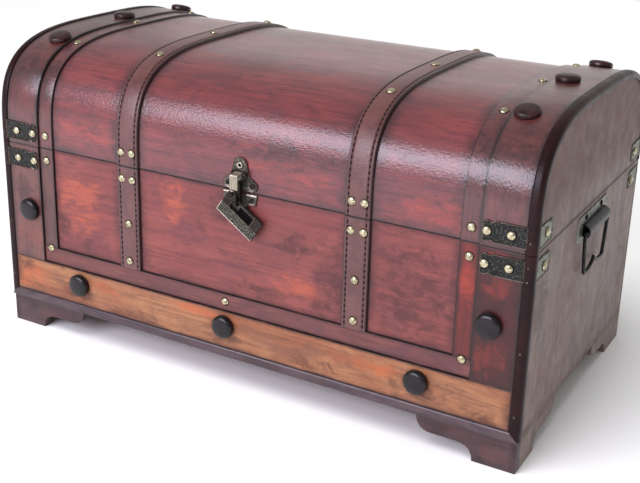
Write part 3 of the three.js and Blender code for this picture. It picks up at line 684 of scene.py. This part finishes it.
# Along a stitch, its height, and its width
STITCH_RINGS = ((-0.5, -0.3, 0.4), (-0.3, 0.6, 1), (0.3, 0.6, 1), (0.5, -0.3, 0.4))


def strap_section(centre):
    """A strap's section: soft edges and a shallow groove under each row of stitches."""
    half = [(0, PANEL_INSET), (0, STRAP_INSET + 1.0), (0.3, STRAP_INSET + 0.35), (1.0, STRAP_INSET),
            (2.6, STRAP_INSET - 0.05), (3.4, STITCH_BED), (4.2, STRAP_INSET - 0.05),
            (6.5, STRAP_INSET - 0.25), (HALF_STRAP, STRAP_INSET - 0.4)]
    half = [(x - HALF_STRAP, inset) for x, inset in half]
    other_half = [(-x, inset) for x, inset in reversed(half[:-1])]
    return [(centre + x, inset) for x, inset in half + other_half]


def stitch_rows(name, centre, path, body):
    """Two rows of stitches: small domed dashes at each (place, way along, way out) of a path."""
    stitches = []
    for x in (centre - STITCH_ROW, centre + STITCH_ROW):
        for spot, along, out in path:
            rings = []
            for share, high, wide in STITCH_RINGS:
                here = spot + along * (share * STITCH_LONG)
                low = here - out * STITCH_SUNK
                top = here + out * high
                half = wide * STITCH_WIDE / 2
                narrow = half * STITCH_TAPER
                rings.append([(x - half, *low), (x - narrow, *top), (x + narrow, *top),
                              (x + half, *low)])
            stitches.append(loft(rings))
    make_piece(name, joined(stitches), stitch, body, "leather", crease=60)


def arch_path(inset, margin):
    """Places every pitch along the lid's arch, with the direction along it and out of it."""
    fine = [Vector(arch_point(inset, step, FINE_STEPS)) for step in range(FINE_STEPS + 1)]
    steps = [(a, b - a, (b - a).length) for a, b in zip(fine, fine[1:])]
    total = sum(length for _, _, length in steps)
    result = []
    walked, due = 0.0, margin
    for a, step, length in steps:
        while length and walked + length >= due and due < total - margin:
            along = step.normalized()
            result.append((a + along * (due - walked), along, Vector((-along.y, along.x))))
            due += STITCH_PITCH
        walked += length
    return result


def upright_path(inset, z0, z1):
    heights = [z0 + STITCH_PITCH * (k + 0.5) for k in range(int((z1 - z0) / STITCH_PITCH))]
    return [(Vector((inset, z)), Vector((0, 1)), Vector((-1, 0))) for z in heights]


def straps():
    for name, side in SIDES:
        centre = side * STRAP_CENTRE
        section = strap_section(centre)
        over_arch(name + "_lid_strap", "leather", section, leather, "leather", crease=60)
        lower = sweep(section, lambda inset, step: (inset, (CROSS_TOP, BODY_HIGH)[step]), 1)
        make_piece(name + "_strap_leather", lower, leather, "box", "leather", name + "_strap")
        stitch_rows(name + "_lid_stitches", centre, arch_path(STITCH_BED, 4), "lid")
        rows = upright_path(STITCH_BED, CROSS_TOP + 2, BODY_HIGH - 2)
        stitch_rows(name + "_stitches", centre, rows, "box")


def body_pieces():
    for name, side in SIDES:
        points, faces = sweep(mirrored(bead_section(), side),
                              lambda inset, step: (inset, (FOOT_HIGH, BODY_HIGH)[step]), 1)
        # The foot of the bead is mitred to the moulding's end
        mitred = [(x, y, z if z == BODY_HIGH else MOULD_TOP - (abs(x) - BEAD_INNER) + MITRE_GAP)
                  for x, y, z in points]
        make_piece(name + "_corner_bead_rounded", (mitred, faces), edge_wood, "box", "dark_edge",
                   name + "_corner_bead")
    moulding()
    keep("bottom_band", tan_wood, 0.5)
    keep("cross_strip", cross_wood, 0.5)
    for name, side in SIDES:
        keep(name + "_end_band", band_woods[name], 0.5)
        keep(name + "_narrow_strip", strip_woods[name], 0.5)
        keep(name + "_end_board", end_wood, 0.6)
        keep(name + "_front_foot", foot_wood, 1.0, 3)
    keep("front_board", front_wood)
    keep("back_board", inside_wood)
    keep("floor_board", inside_wood)


def moulding():
    """The base moulding: a rounded nose, mitred under the beads."""
    profile = trace((PANEL_INSET, 0), (1.2, 0), ((0, 0), (0, 1.6)), (0, 6.2), (0.25, 7.6), (0.9, 8.8),
                    (2.0, 9.7), (3.4, 10), (PANEL_INSET, 10), fine=3)
    shape = loft([[(end * (HALF_WIDTH - z), y, FOOT_HIGH + z) for y, z in profile] for end in (-1, 1)])
    make_piece("base_moulding_rounded", shape, moulding_wood, "box", "dark_edge", "base_moulding")


# Turned work and nails, as (radius, height) profiles
KNOB = [(0, 0), (11.3, 0), (11.8, 0.5), (12, 1.5), (12, 4.3), (11.75, 5.3), (11.1, 6.2), (10.1, 6.9),
        (8.6, 7.45), (6.6, 7.85), (4.4, 8.1), (2.2, 8.25), (0, 8.3)]
NAIL = [(0, -0.8), (3.9, -0.8), (4.15, 0), (4.1, 0.4), (3.85, 0.9), (3.35, 1.4), (2.6, 1.85), (1.8, 2.1),
        (0.9, 2.25), (0, 2.3)]
# A black ring under a nail's head: dirt and painted shade
NAIL_DIRT_SHADE_RING = [(0, -0.6), (4.6, -0.6), (4.6, 0.08), (0, 0.12)]
BEAD_PIN = [(0, -0.4), (1.0, -0.4), (0.9, 0.2), (0.5, 0.35), (0, 0.4)]
PIN_END = [(0, -0.4), (1.6, -0.4), (1.6, 0.2), (1.2, 0.6), (0.6, 0.8), (0, 0.85)]
EYELET = [(1.6, 0), (3.2, 0), (3.2, 0.4), (2.9, 0.9), (2.4, 1.05), (1.9, 0.9), (1.6, 0.4)]
BARREL = [(1.3, -4.5), (2.2, -4.5), (2.4, -4.3), (2.4, 4.3), (2.2, 4.5), (1.3, 4.5)]
# A screw's half dome, as shares of its radius and heights
SCREW_DOME = ((1, 0.1), (1, 0.5), (0.86, 0.9), (0.55, 1.15))
SLOT_HALF = 0.4
LID_KNOB_SHARE = 0.82
LID_KNOB_X = 262
KNOB_SIDES = 56
NAIL_SIDES = 32
BEAD_PIN_SIDES = 14
SPIN_FIRST = 0.5
SPIN_STEP = 0.9


def lathe(profile, count, closed=False):
    """A profile turned about +z, from pole to pole or as a ring. Coincident pole points merge later."""
    turns = [2 * math.pi * k / count for k in range(count)]
    points, faces = loft([[(radius * math.cos(turn), radius * math.sin(turn), height) for turn in turns]
                          for radius, height in profile], closed)
    return points, faces if closed else faces[:-2]


def disc(radius, high, count):
    return lathe(((0, 0), (radius, 0), (radius, high), (0, high)), count)


def screw_head(radius):
    """Two half domes with a slot between them, on a disc, about +z."""
    shapes = [disc(radius, 0.3, 24)]
    for side in (-1, 1):
        rings = []
        for share, height in SCREW_DOME:
            reach = radius * share
            start = math.asin(SLOT_HALF / reach)
            dome = arc(0, 0, reach, start, math.pi - start)
            rings.append([(side * x, side * y, height) for x, y in dome])
        shapes.append(loft(rings))
    return joined(shapes)


def stand(points, at, out, spin=0.0):
    """Points about +z turned so that +z points along out, and moved to at."""
    facing = Vector(out).normalized().to_track_quat("Z", "Y")
    turn = facing @ Matrix.Rotation(spin, 3, "Z").to_quaternion()
    return [tuple(Vector(at) + turn @ Vector(point)) for point in points]


def fasten(name, shape, spots, material, body, slot="aged_bronze"):
    """All copies of one small shape, stood at (place, way out) spots, as one piece."""
    points, faces = shape
    copies = [(stand(points, at, out, SPIN_FIRST + number * SPIN_STEP), faces)
              for number, (at, out) in enumerate(spots)]
    make_piece(name, joined(copies), material, body, slot, crease=50)


def knobs():
    points, faces = lathe(KNOB, KNOB_SIDES)
    for node, x, z in (("left_bottom_knob", -199, 66), ("middle_bottom_knob", -13, 66),
                       ("right_bottom_knob", 199, 66), ("left_side_knob", -264, 140),
                       ("right_side_knob", 264, 140)):
        turned = stand(points, (x, BAND_INSET, z), FORWARD), faces
        make_piece(node + "_turned", turned, knob_wood, "box", "knob_wood", node, 50)
    points, faces = lathe([(radius, high * LID_KNOB_SHARE) for radius, high in KNOB], KNOB_SIDES)
    for name, side in SIDES:
        for row, y in (("front", 58), ("top", 166), ("rear", 274)):
            node = f"{name}_lid_{row}_knob"
            turned = stand(points, *on_arch(side * LID_KNOB_X, y, BAND_INSET)), faces
            make_piece(node + "_turned", turned, lid_knob_wood, "lid", "knob_wood", node, 50)


def on_arch(x, y, inset):
    """A point on the arch at one depth, and the way out of it."""
    run, rise = HALF_DEPTH - inset, LID_RISE - inset
    share = abs(y - HALF_DEPTH) / run
    height = (1 - share ** ARCH_POWER) ** (1 / ARCH_POWER)
    slope = rise / run * (share / height) ** (ARCH_POWER - 1) * math.copysign(1, HALF_DEPTH - y)
    return (x, y, LID_FOOT + rise * height), (0, -slope, 1)


# Nails on the front: x, depth, heights on the box and heights on the lid
NAIL_ROWS = ((STRIP_MIDDLE, STRIP_INSET, (198, 99), (225,)),
             (125, STRAP_INSET - 0.2, (198,), (226,)),
             (138, STRAP_INSET - 0.2, (198,), (226,)),
             (STRAP_CENTRE, STRAP_INSET - 0.4, (150, 109), ()),
             (255, 0, (BOX_PLATE_Z,), (LID_PLATE_Z,)),
             (277, 0, (BOX_PLATE_Z,), (LID_PLATE_Z,)))
# Nails on the side plates, and over the arch as x, depths along it and inset
SIDE_NAIL_Y = (26, 303)
SIDE_NAIL_OUT = 1
SIDE_NAIL_Z = 195
ARCH_NAILS = ((STRIP_MIDDLE, (60, 160, 265), STRIP_INSET),
              (STRAP_CENTRE, (60, 157, 265), STRAP_INSET - 0.4))
MIDDLE_NAIL = (-13, STRIP_INSET, 92)
BEAD_PIN_X = 294
BEAD_PIN_DEEP = 0.1
BOX_PINS_Z = (200, 187, 120, 58)
LID_PINS_Z = (222,)


def nails():
    box_spots, lid_spots, box_pins, lid_pins = [], [], [], []
    for _, side in SIDES:
        for x, inset, box_heights, lid_heights in NAIL_ROWS:
            box_spots += [((side * x, inset, z), FORWARD) for z in box_heights]
            lid_spots += [((side * x, inset, z), FORWARD) for z in lid_heights]
        for y in SIDE_NAIL_Y:
            x = side * (END_FACE + SIDE_NAIL_OUT)
            box_spots.append(((x, y, SIDE_NAIL_Z), (side, 0, 0)))
            lid_spots.append(((x, y, LID_PLATE_Z), (side, 0, 0)))
        for x, depths, inset in ARCH_NAILS:
            lid_spots += [on_arch(side * x, y, inset) for y in depths]
        box_pins += [((side * BEAD_PIN_X, BEAD_PIN_DEEP, z), FORWARD) for z in BOX_PINS_Z]
        lid_pins += [((side * BEAD_PIN_X, BEAD_PIN_DEEP, z), FORWARD) for z in LID_PINS_Z]
    box_spots.append((MIDDLE_NAIL, FORWARD))
    # Each nail stands on a black ring: dirt and painted shade round its head
    for part, profile, material in (("nail_dirt_shade_rings", NAIL_DIRT_SHADE_RING, black_and_shade), ("nails", NAIL, brass)):
        shape = lathe(profile, NAIL_SIDES)
        fasten("box_" + part, shape, box_spots, material, "box", "brass")
        fasten("lid_" + part, shape, lid_spots, material, "lid", "brass")
    pin = lathe(BEAD_PIN, BEAD_PIN_SIDES)
    fasten("box_bead_pins", pin, box_pins, hasp_metal, "box", "brass")
    fasten("lid_bead_pins", pin, lid_pins, hasp_metal, "lid", "brass")


# Plates: an outline, a thickness, and a raised rim round it
TINY = 1e-6
SHARPEST = 0.5


def inset_loop(loop, by):
    """The loop moved inwards. The loop runs anticlockwise."""
    result = []
    for i, point in enumerate(loop):
        here, before, after = Vector(point), Vector(loop[i - 1]), Vector(loop[(i + 1) % len(loop)])
        a, b = (here - before), (after - here)
        if a.length < TINY or b.length < TINY:
            a = b = after - before
        a.normalize()
        b.normalize()
        normal = Vector((-a.y - b.y, a.x + b.x))
        if normal.length < TINY:
            normal = Vector((-a.y, a.x))
        normal.normalize()
        scale = 1 / max(SHARPEST, normal.dot(Vector((-a.y, a.x))))
        result.append(tuple(here + normal * by * scale))
    return result


def area_of(loop):
    return sum(a[0] * b[1] - b[0] * a[1] for a, b in zip(loop, loop[1:] + loop[:1])) / 2


def on_front(u, v, out):
    """Plate place u, v on the front panel."""
    return (u, PANEL_INSET - out, v)


def along_x(u, v, out):
    """A side view's place u, v, carried along x."""
    return (out, u, v)


def slab(name, loop, lay, low, high, material, body, slot="aged_bronze", stands_for=(), crease=35,
         soft=0, segments=2, soft_angle=35):
    """A loop carried from one height to another, with its edges softened."""
    shape = loft([[lay(u, v, height) for u, v in loop] for height in (low, high)])
    piece = make_piece(name, shape, material, body, slot, stands_for, crease)
    if soft:
        soften(piece, soft, segments, soft_angle)


def rimmed_plate(name, loop, lay, thick, materials, body, slot, stands_for,
                 rim=0.9, rise=0.4, hollow=0.3):
    """A plate with a raised rim. lay(u, v, out) gives the drawn point of plate place u, v at a height.
    materials are the face's and the rim's."""
    if area_of(loop) < 0:
        loop = loop[::-1]
    # Each ring's inset, height and material number
    rings = [(0, 0, 0), (0, thick - 0.25, 0), (0.25, thick + rise * 0.8, 1),
             (rim * 0.5, thick + rise, 1), (rim, thick + rise * 0.3, 1), (rim + 0.5, thick - hollow, 0)]
    shape = loft([[lay(u, v, height) for u, v in (inset_loop(loop, inset) if inset else loop)]
                  for inset, height, _ in rings])
    which = [number for _, _, number in rings[1:] for _ in loop] + [0, 0]
    make_piece(name, shape, materials, body, slot, stands_for, which=which)


PLATE_HALF = 10
PLATE_HIDDEN = 1.6
PLATE_THICK = 1
FRONT_PLATE_LONG = 41
SIDE_PLATE_LONG = 33
FRONT_PLATE_X = 289.7
SIDE_PLATE_Y = 8.5
REAR_PLATE_Y = 323.5
LOBE = 6


def plate_loop(long):
    """A strip from under the bead at u = 0, with three lobes at its far end."""
    def back(share):
        return long - LOBE * share
    nick, tip = PLATE_HALF - LOBE / 2, LOBE * 0.6
    half = trace((-PLATE_HIDDEN, PLATE_HALF), (back(2.2), PLATE_HALF),
                 ((back(1.8), nick), (back(1.3), PLATE_HALF)), ((back(0), PLATE_HALF), (back(0.5), tip)))
    end = curve(half[-1], (back(-0.1), 0), (back(0.5), -tip), 6)
    return half + end[:-1] + [(u, -v) for u, v in reversed(half)]


def corner_plates():
    for name, side in SIDES:
        for row, body, middle in (("", "box", BOX_PLATE_Z), ("lid_", "lid", LID_PLATE_Z)):
            node = f"{name}_{row}front_plate"
            rimmed_plate(node + "_cast", plate_loop(FRONT_PLATE_LONG),
                         lambda u, v, out: (side * (FRONT_PLATE_X - u), BAND_INSET - out, middle + v),
                         PLATE_THICK, [plate_bronze, plate_rim], body, "bronze", node)
            for end, start, way in (("side", SIDE_PLATE_Y, 1), ("rear", REAR_PLATE_Y, -1)):
                node = f"{name}_{row}{end}_plate"
                rimmed_plate(node + "_cast", plate_loop(SIDE_PLATE_LONG),
                             lambda u, v, out: (side * (END_FACE + out), start + way * u, middle + v),
                             PLATE_THICK, [side_bronze, plate_rim], body, "bronze",
                             node if end == "side" else ())


# The hasp: a plate, ears, a pin and a tongue on the lid, and a plate with an upright eye on the box
HASP_THICK = 1.5
HASP_RIM = (1.1, 0.4, 0.1)
HASP_GAP = 1.2
PIN_Y = 0.8
PIN_Z = 229
EAR_NEAR = 4.8
EAR_FAR = 7.8
EYE_LOW = 197.5
EYE_MIDDLE = -1.65
EYE_SIDES = 16
PADLOCK_Z = EYE_LOW + 1.1


def hasp_plate(node, outline, body):
    """One of the hasp's plates, from its outline about the hasp's middle."""
    loop = [(HASP_X + x, z) for x, z in outline]
    rimmed_plate(node + "_cast", loop, on_front, HASP_THICK, [hasp_metal, plate_rim], body,
                 "aged_bronze", node, *HASP_RIM)


def hasp_upper():
    """The bell-shaped plate on the lid, with the two ears that hold the tongue's pin."""
    low = BODY_HIGH + HASP_GAP
    wing_x, wing_z, top_z = 13.5, low + 6, low + 25
    half = [(wing_x, low)] + arc(wing_x, wing_z, 6, -QUARTER_TURN, math.pi / 5)
    half += [(10.5, wing_z + 9), (8.3, top_z - 2)] + arc(0, top_z, 8, 0, QUARTER_TURN, 8)
    other_half = [(-x, z) for x, z in reversed(half) if x > TINY]
    hasp_plate("hasp_upper_plate", half + other_half, "lid")
    nose = arc(PIN_Y, PIN_Z, 2.4, QUARTER_TURN, math.pi * 3 / 2)
    nose += [(PLATE_FACE + 0.6, PIN_Z - 2.4), (PLATE_FACE + 0.6, PIN_Z + 2.4)]
    for name, side in SIDES:
        near, far = HASP_X + side * EAR_NEAR, HASP_X + side * EAR_FAR
        slab(f"hasp_{name}_ear", nose, along_x, near, far, dark_bronze, "lid", soft=0.4)
        fasten(f"hasp_{name}_pin_end", lathe(PIN_END, 20), [((far, PIN_Y, PIN_Z), (side, 0, 0))],
               plate_rim, "lid")
    eyelet, hole = (HASP_X, PLATE_FACE - 0.1, top_z), (HASP_X, PLATE_FACE, top_z)
    fasten("hasp_eyelet", lathe(EYELET, 28, True), [(eyelet, FORWARD)], rubbed_highlight, "lid")
    # Painted shade: a black disc in the eyelet's hole
    fasten("hasp_eyelet_hole", disc(1.7, 0.2, 20), [(hole, FORWARD)], black_and_shade, "lid")
    hasp_screws("hasp_upper_screws", 2.7, 14, wing_z, "lid")


def hasp_screws(name, radius, apart, z, body):
    spots = [((HASP_X + side * apart, PLATE_FACE + 0.1, z), FORWARD) for _, side in SIDES]
    fasten(name, screw_head(radius), spots, dark_bronze, body)


def hasp_tongue():
    """The bent strip that hangs over the staple, and its barrel."""
    face, back, low, top = -8.0, -6.5, BODY_HIGH + 4.5, PIN_Z + 1.44
    under = top - HASP_THICK
    loop = trace((face, low), (back, low), (back, top - 4), ((back, under), (back + 2.5, under)),
                 (PIN_Y, under), (PIN_Y, top), (back, top), ((face, top), (face, top - 2.75)), fine=8)
    slab("tongue_strip", loop, along_x, HASP_X - 4.5, HASP_X + 4.5, brushed, "tongue",
         stands_for="hasp_tongue", crease=30, soft=0.35, segments=3, soft_angle=50)
    across = ((HASP_X, PIN_Y, PIN_Z), (1, 0, 0))
    fasten("tongue_barrel", lathe(BARREL, 28, True), [across], brushed, "tongue")


def hasp_lower():
    """The shield-shaped plate on the box with its upright eye."""
    top = BODY_HIGH - HASP_GAP
    neck, bowl = top - 10.5, top - 12
    outline = trace((-19.5, top), (-18, neck), ((-9, neck), (-9, bowl)))
    outline += arc(0, bowl, 9, math.pi, 2 * math.pi, 14)
    outline += trace(outline[-1], ((9, neck), (18, neck)), (19.5, top))[1:]
    hasp_plate("hasp_staple_plate", outline, "box")
    staple_eye()
    root = rectangle(1.6, 4.2, EYE_LOW + 0.4, top)
    slab("staple_root", root, along_x, HASP_X - 1.5, HASP_X + 1.5, dark_bronze, "box", soft=0.4)
    # Painted highlight with some real wear: pale bars along the plate's top edge, which faces the light
    # from above
    bar = rectangle(PLATE_FACE - 0.6, PLATE_FACE + 0.9, top - 1.7, top + 0.1)
    for name, side in SIDES:
        near, far = HASP_X + side * 7.5, HASP_X + side * 19
        slab(f"staple_plate_{name}_edge", bar, along_x, near, far, rubbed_highlight, "box", soft=0.45, segments=3)
    hasp_screws("hasp_lower_screws", 2.5, 13.4, top - 6, "box")


def rectangle(u0, u1, v0, v1):
    return [(u0, v0), (u1, v0), (u1, v1), (u0, v1)]


def rounded(u0, u1, v0, v1, radius, steps=6):
    """A rectangle with round corners, as (place, way out) pairs."""
    corners = ((u1 - radius, v1 - radius), (u0 + radius, v1 - radius),
               (u0 + radius, v0 + radius), (u1 - radius, v0 + radius))
    path = []
    for number, corner in enumerate(corners):
        for out in arc(0, 0, 1, QUARTER_TURN * number, QUARTER_TURN * (number + 1), steps):
            path.append((Vector(corner) + Vector(out) * radius, Vector(out)))
    return path


def staple_eye():
    """An upright ring of flat wire with round corners."""
    half_wide, half_thick, square = 1.5, 1.1, 0.6
    section = []
    for k in range(EYE_SIDES):
        turn = 2 * math.pi * k / EYE_SIDES
        section.append((half_wide * signed_power(math.cos(turn), square),
                        half_thick * signed_power(math.sin(turn), square)))
    rings = [[(HASP_X + x, *(spot + out * away)) for x, away in section]
             for spot, out in rounded(-4.9, 1.6, EYE_LOW + 1.1, EYE_LOW + 23.9, 2)]
    make_piece("staple_eye_wire", loft(rings, True), dark_bronze, "box", "aged_bronze", crease=60)


def signed_power(value, power):
    return math.copysign(abs(value) ** power, value)


# The padlock's bars: left, right, low and high, half its thickness, material and softness
PADLOCK_TILT = math.radians(34)
PADLOCK_HANG = (14.9, 5.5)
PADLOCK_BARS = (("left_arm", (0.2, 10, -13, 0), 1.5, dark_bronze, 0.4),
                ("right_arm", (37, 46.8, -13, 0), 1.5, dark_bronze, 0.4),
                ("upper_lip", (0.3, 46.7, -13.0, -12.4), 1.85, plate_rim, 0.2),
                ("lower_lip", (0.3, 46.7, -24.1, -23.3), 1.85, rubbed_highlight, 0.25),
                ("end_lip", (-0.1, 0.7, -23.8, -12.6), 1.85, rubbed_highlight, 0.25),
                ("arm_lip", (36.9, 37.6, -12.6, -0.4), 1.65, plate_rim, 0.2),
                ("bolt", (9, 38, -2.9, -0.3), 1.2, dark_bronze, 0.3),
                ("bolt_edge", (19, 36.9, -3.2, -2.6), 1.3, plate_rim, 0.2))


def padlock_pieces():
    """The padlock: a stippled bar, an arm up each end of it, and a thin bolt across."""
    def lay(u, v, out):
        u, v = u - PADLOCK_HANG[0], v + PADLOCK_HANG[1]
        return (HASP_X + u * math.cos(PADLOCK_TILT) + v * math.sin(PADLOCK_TILT), EYE_MIDDLE - out,
                PADLOCK_Z - u * math.sin(PADLOCK_TILT) + v * math.cos(PADLOCK_TILT))
    slab("padlock_bar", rectangle(0, 47, -24, -12.5), lay, -1.65, 1.65, pad_metal, "padlock",
         stands_for="padlock", soft=0.4, segments=3)
    for name, edges, half, material, soft in PADLOCK_BARS:
        slab("padlock_" + name, rectangle(*edges), lay, -half, half, material, "padlock", soft=soft,
             segments=3)
    # Painted shade: a black sheet behind the right part of the slot, where the staple's eye does not
    # pass
    slab("padlock_slot_shade", rectangle(18.5, 37.2, -12.7, -1.2), lay, -1.6, -1.3, black_and_shade, "padlock")


# The drop handles
ROLL_Z = 191
ROLL_OUT = 1.5
ROLL_END = math.pi * 0.36
HANDLE_TOP = 207
BAIL_OUT = 6
BAIL_WIRE = 1.8
BAIL_SIDES = 14


def wire(path, radius, sides):
    """A round wire along drawn points."""
    spots = [Vector(point) for point in path]
    turns = [2 * math.pi * k / sides for k in range(sides)]
    rings = []
    up = None
    for before, spot, after in zip(spots[:1] + spots, spots, spots[1:] + spots[-1:]):
        along = (after - before).normalized()
        if up is None:
            up = along.orthogonal()
        up = (up - along * up.dot(along)).normalized()
        across = along.cross(up)
        rings.append([tuple(spot + (up * math.cos(turn) + across * math.sin(turn)) * radius)
                      for turn in turns])
    return loft(rings)


def bails():
    """The drop bails: square shoulders, legs that lean in, and a cusp in the middle of the grip."""
    top, half, bend, tail = ROLL_Z, 37, 6, 15
    low, foot, cusp = top - 43, 31, 8
    path = trace((tail - half, top), (bend - half, top), ((-half, top), (-half, top - bend)),
                 (-foot, low + bend), ((-foot, low), (bend - foot, low)),
                 ((-bend, low), (0, low + cusp)), fine=8)
    path += [(-y, z) for y, z in reversed(path[:-1])]
    for name, side in SIDES:
        x = side * (END_FACE + BAIL_OUT)
        shape = wire([(x, HALF_DEPTH + y, z) for y, z in path], BAIL_WIRE, BAIL_SIDES)
        bail = name + "_bail"
        make_piece(bail + "_wire", shape, dark_iron, bail, "black_iron", bail, 60)


def handle_plates():
    """The drop handles' plates: worn iron with a hollow roll folded out, and two dark screw holes."""
    half_long, high, radius, thick = 46, 26, 7.4, 1.3
    corners = rounded(-half_long, half_long, HANDLE_TOP - high, HANDLE_TOP, 4)
    outline = [tuple(spot) for spot, _ in corners]
    shell = [(-0.5, radius)] + arc(0.6, 0, radius, QUARTER_TURN, -ROLL_END, 18)
    shell += arc(0.6, 0, radius - thick, -ROLL_END, QUARTER_TURN, 18) + [(-0.5, radius - thick)]
    lip = [(3.6, -7.4), (5.4, -6.9), (6.0, -5.6), (4.4, -6.0)]
    shade = arc(0, 0, 5.4, QUARTER_TURN, -QUARTER_TURN, 12)
    for name, side in SIDES:
        def lay(u, v, out):
            return (side * (END_FACE + out), HALF_DEPTH + u, v)

        def roll_lay(u, v, out):
            return (side * (END_FACE + ROLL_OUT + u), HALF_DEPTH + out, ROLL_Z + v)
        rimmed_plate(f"{name}_handle_plate_worn", outline, lay, 1.5, [worn_iron, worn_iron], "box",
                     "black_iron", f"{name}_handle_plate", 0.8, 0.15, 0.1)
        slab(f"{name}_handle_roll", shell, roll_lay, -33, 33, dark_iron, "box", "black_iron",
             soft=0.35, soft_angle=50)
        slab(f"{name}_handle_lip", lip, roll_lay, -32.6, 32.6, worn_iron, "box", "black_iron", soft=0.3)
        for end, y in (("front", -30), ("rear", 30)):
            slab(f"{name}_roll_{end}_shade", shade, roll_lay, y - 1, y + 1, black_and_shade, "box", "black_iron")
        spots = [((side * (END_FACE + 1.3), HALF_DEPTH + y, 203.2), (side, 0, 0)) for y in (-24, 24)]
        fasten(f"{name}_handle_screws", screw_head(2.8), spots, black_and_shade, "box", "black_iron")


HINGE_FACE = DEPTH - PANEL_INSET + 1.5
HINGE_SCREW_OUT = 15.5
HINGE_SCREW_SHARES = (0.16, 0.5, 0.84)


def hinges():
    """The butt hinges: the CAD's leaves, with three screws in each."""
    for name, _ in SIDES:
        for body, z in (("box", BODY_HIGH - HINGE_SCREW_OUT), ("lid", BODY_HIGH + HINGE_SCREW_OUT)):
            keep(f"{name}_hinge_{body}_leaf", hinge_steel, 0.2)
            low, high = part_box(f"{name}_hinge_{body}_leaf")
            across = [(low[0] + (high[0] - low[0]) * share) / MM for share in HINGE_SCREW_SHARES]
            spots = [((x, HINGE_FACE, z), (0, 1, 0)) for x in across]
            fasten(f"{name}_hinge_{body}_screws", screw_head(3.2), spots, dark_iron, body)


# The stage and its light, in metres and watts
FLOOR_HALF = 6
WORLD_LIGHT = 0.46
SUN_LIGHT = 1.75
SUN_SPREAD = math.radians(40)
SUN_WAY = (0.25, 0.6, -1.4)
# Each soft box's place, what it looks at, its size, power and tint
SOFT_BOXES = (("front_softbox", (-0.6, -2.1, 1.13), (0.1, 0, 0.25), (1.8, 1.0), 45, (0.96, 0.93, 1.1)),
              ("backdrop", (0, 2.4, 0.75), (0, 0, 0.3), (4.0, 1.4), 5, (1, 0.88, 0.84)))


def make_floor():
    mesh = bpy.data.meshes.new("floor")
    corners = [(x * FLOOR_HALF, y * FLOOR_HALF, 0) for x, y in rectangle(-1, 1, -1, 1)]
    mesh.from_pydata(corners, [], [(0, 1, 2, 3)])
    floor = add_object("floor", mesh)
    g = Graph("floor_paper")
    color = g.mix(g.noise(0.001, 2), (0.92, 0.92, 0.92), (0.94, 0.94, 0.94))
    mesh.materials.append(g.finish(color, 0.9, specular=0.1))


def aim(light, way):
    light.rotation_mode = "QUATERNION"
    light.rotation_quaternion = Vector(way).to_track_quat("-Z", "Y")


def make_lights():
    world = bpy.data.worlds.new("studio")
    world.use_nodes = True
    background = world.node_tree.nodes["Background"].inputs
    background["Color"].default_value = (1, 1, 1, 1)
    background["Strength"].default_value = WORLD_LIGHT
    bpy.context.scene.world = world
    sun = bpy.data.lights.new("window", "SUN")
    sun.energy = SUN_LIGHT
    sun.angle = SUN_SPREAD
    window = add_object("window", sun)
    window.visible_glossy = False
    aim(window, SUN_WAY)
    for name, at, toward, size, power, tint in SOFT_BOXES:
        data = bpy.data.lights.new(name, "AREA")
        data.shape = "RECTANGLE"
        data.size, data.size_y = size
        data.energy = power
        data.color = tint
        light = add_object(name, data)
        light.location = at
        aim(light, Vector(toward) - Vector(at))


body_pieces()
lid_pieces()
straps()
knobs()
nails()
corner_plates()
hasp_upper()
hasp_tongue()
hasp_lower()
padlock_pieces()
bails()
handle_plates()
hinges()
make_floor()
make_lights()
bpy.context.scene.view_settings.view_transform = "Standard"
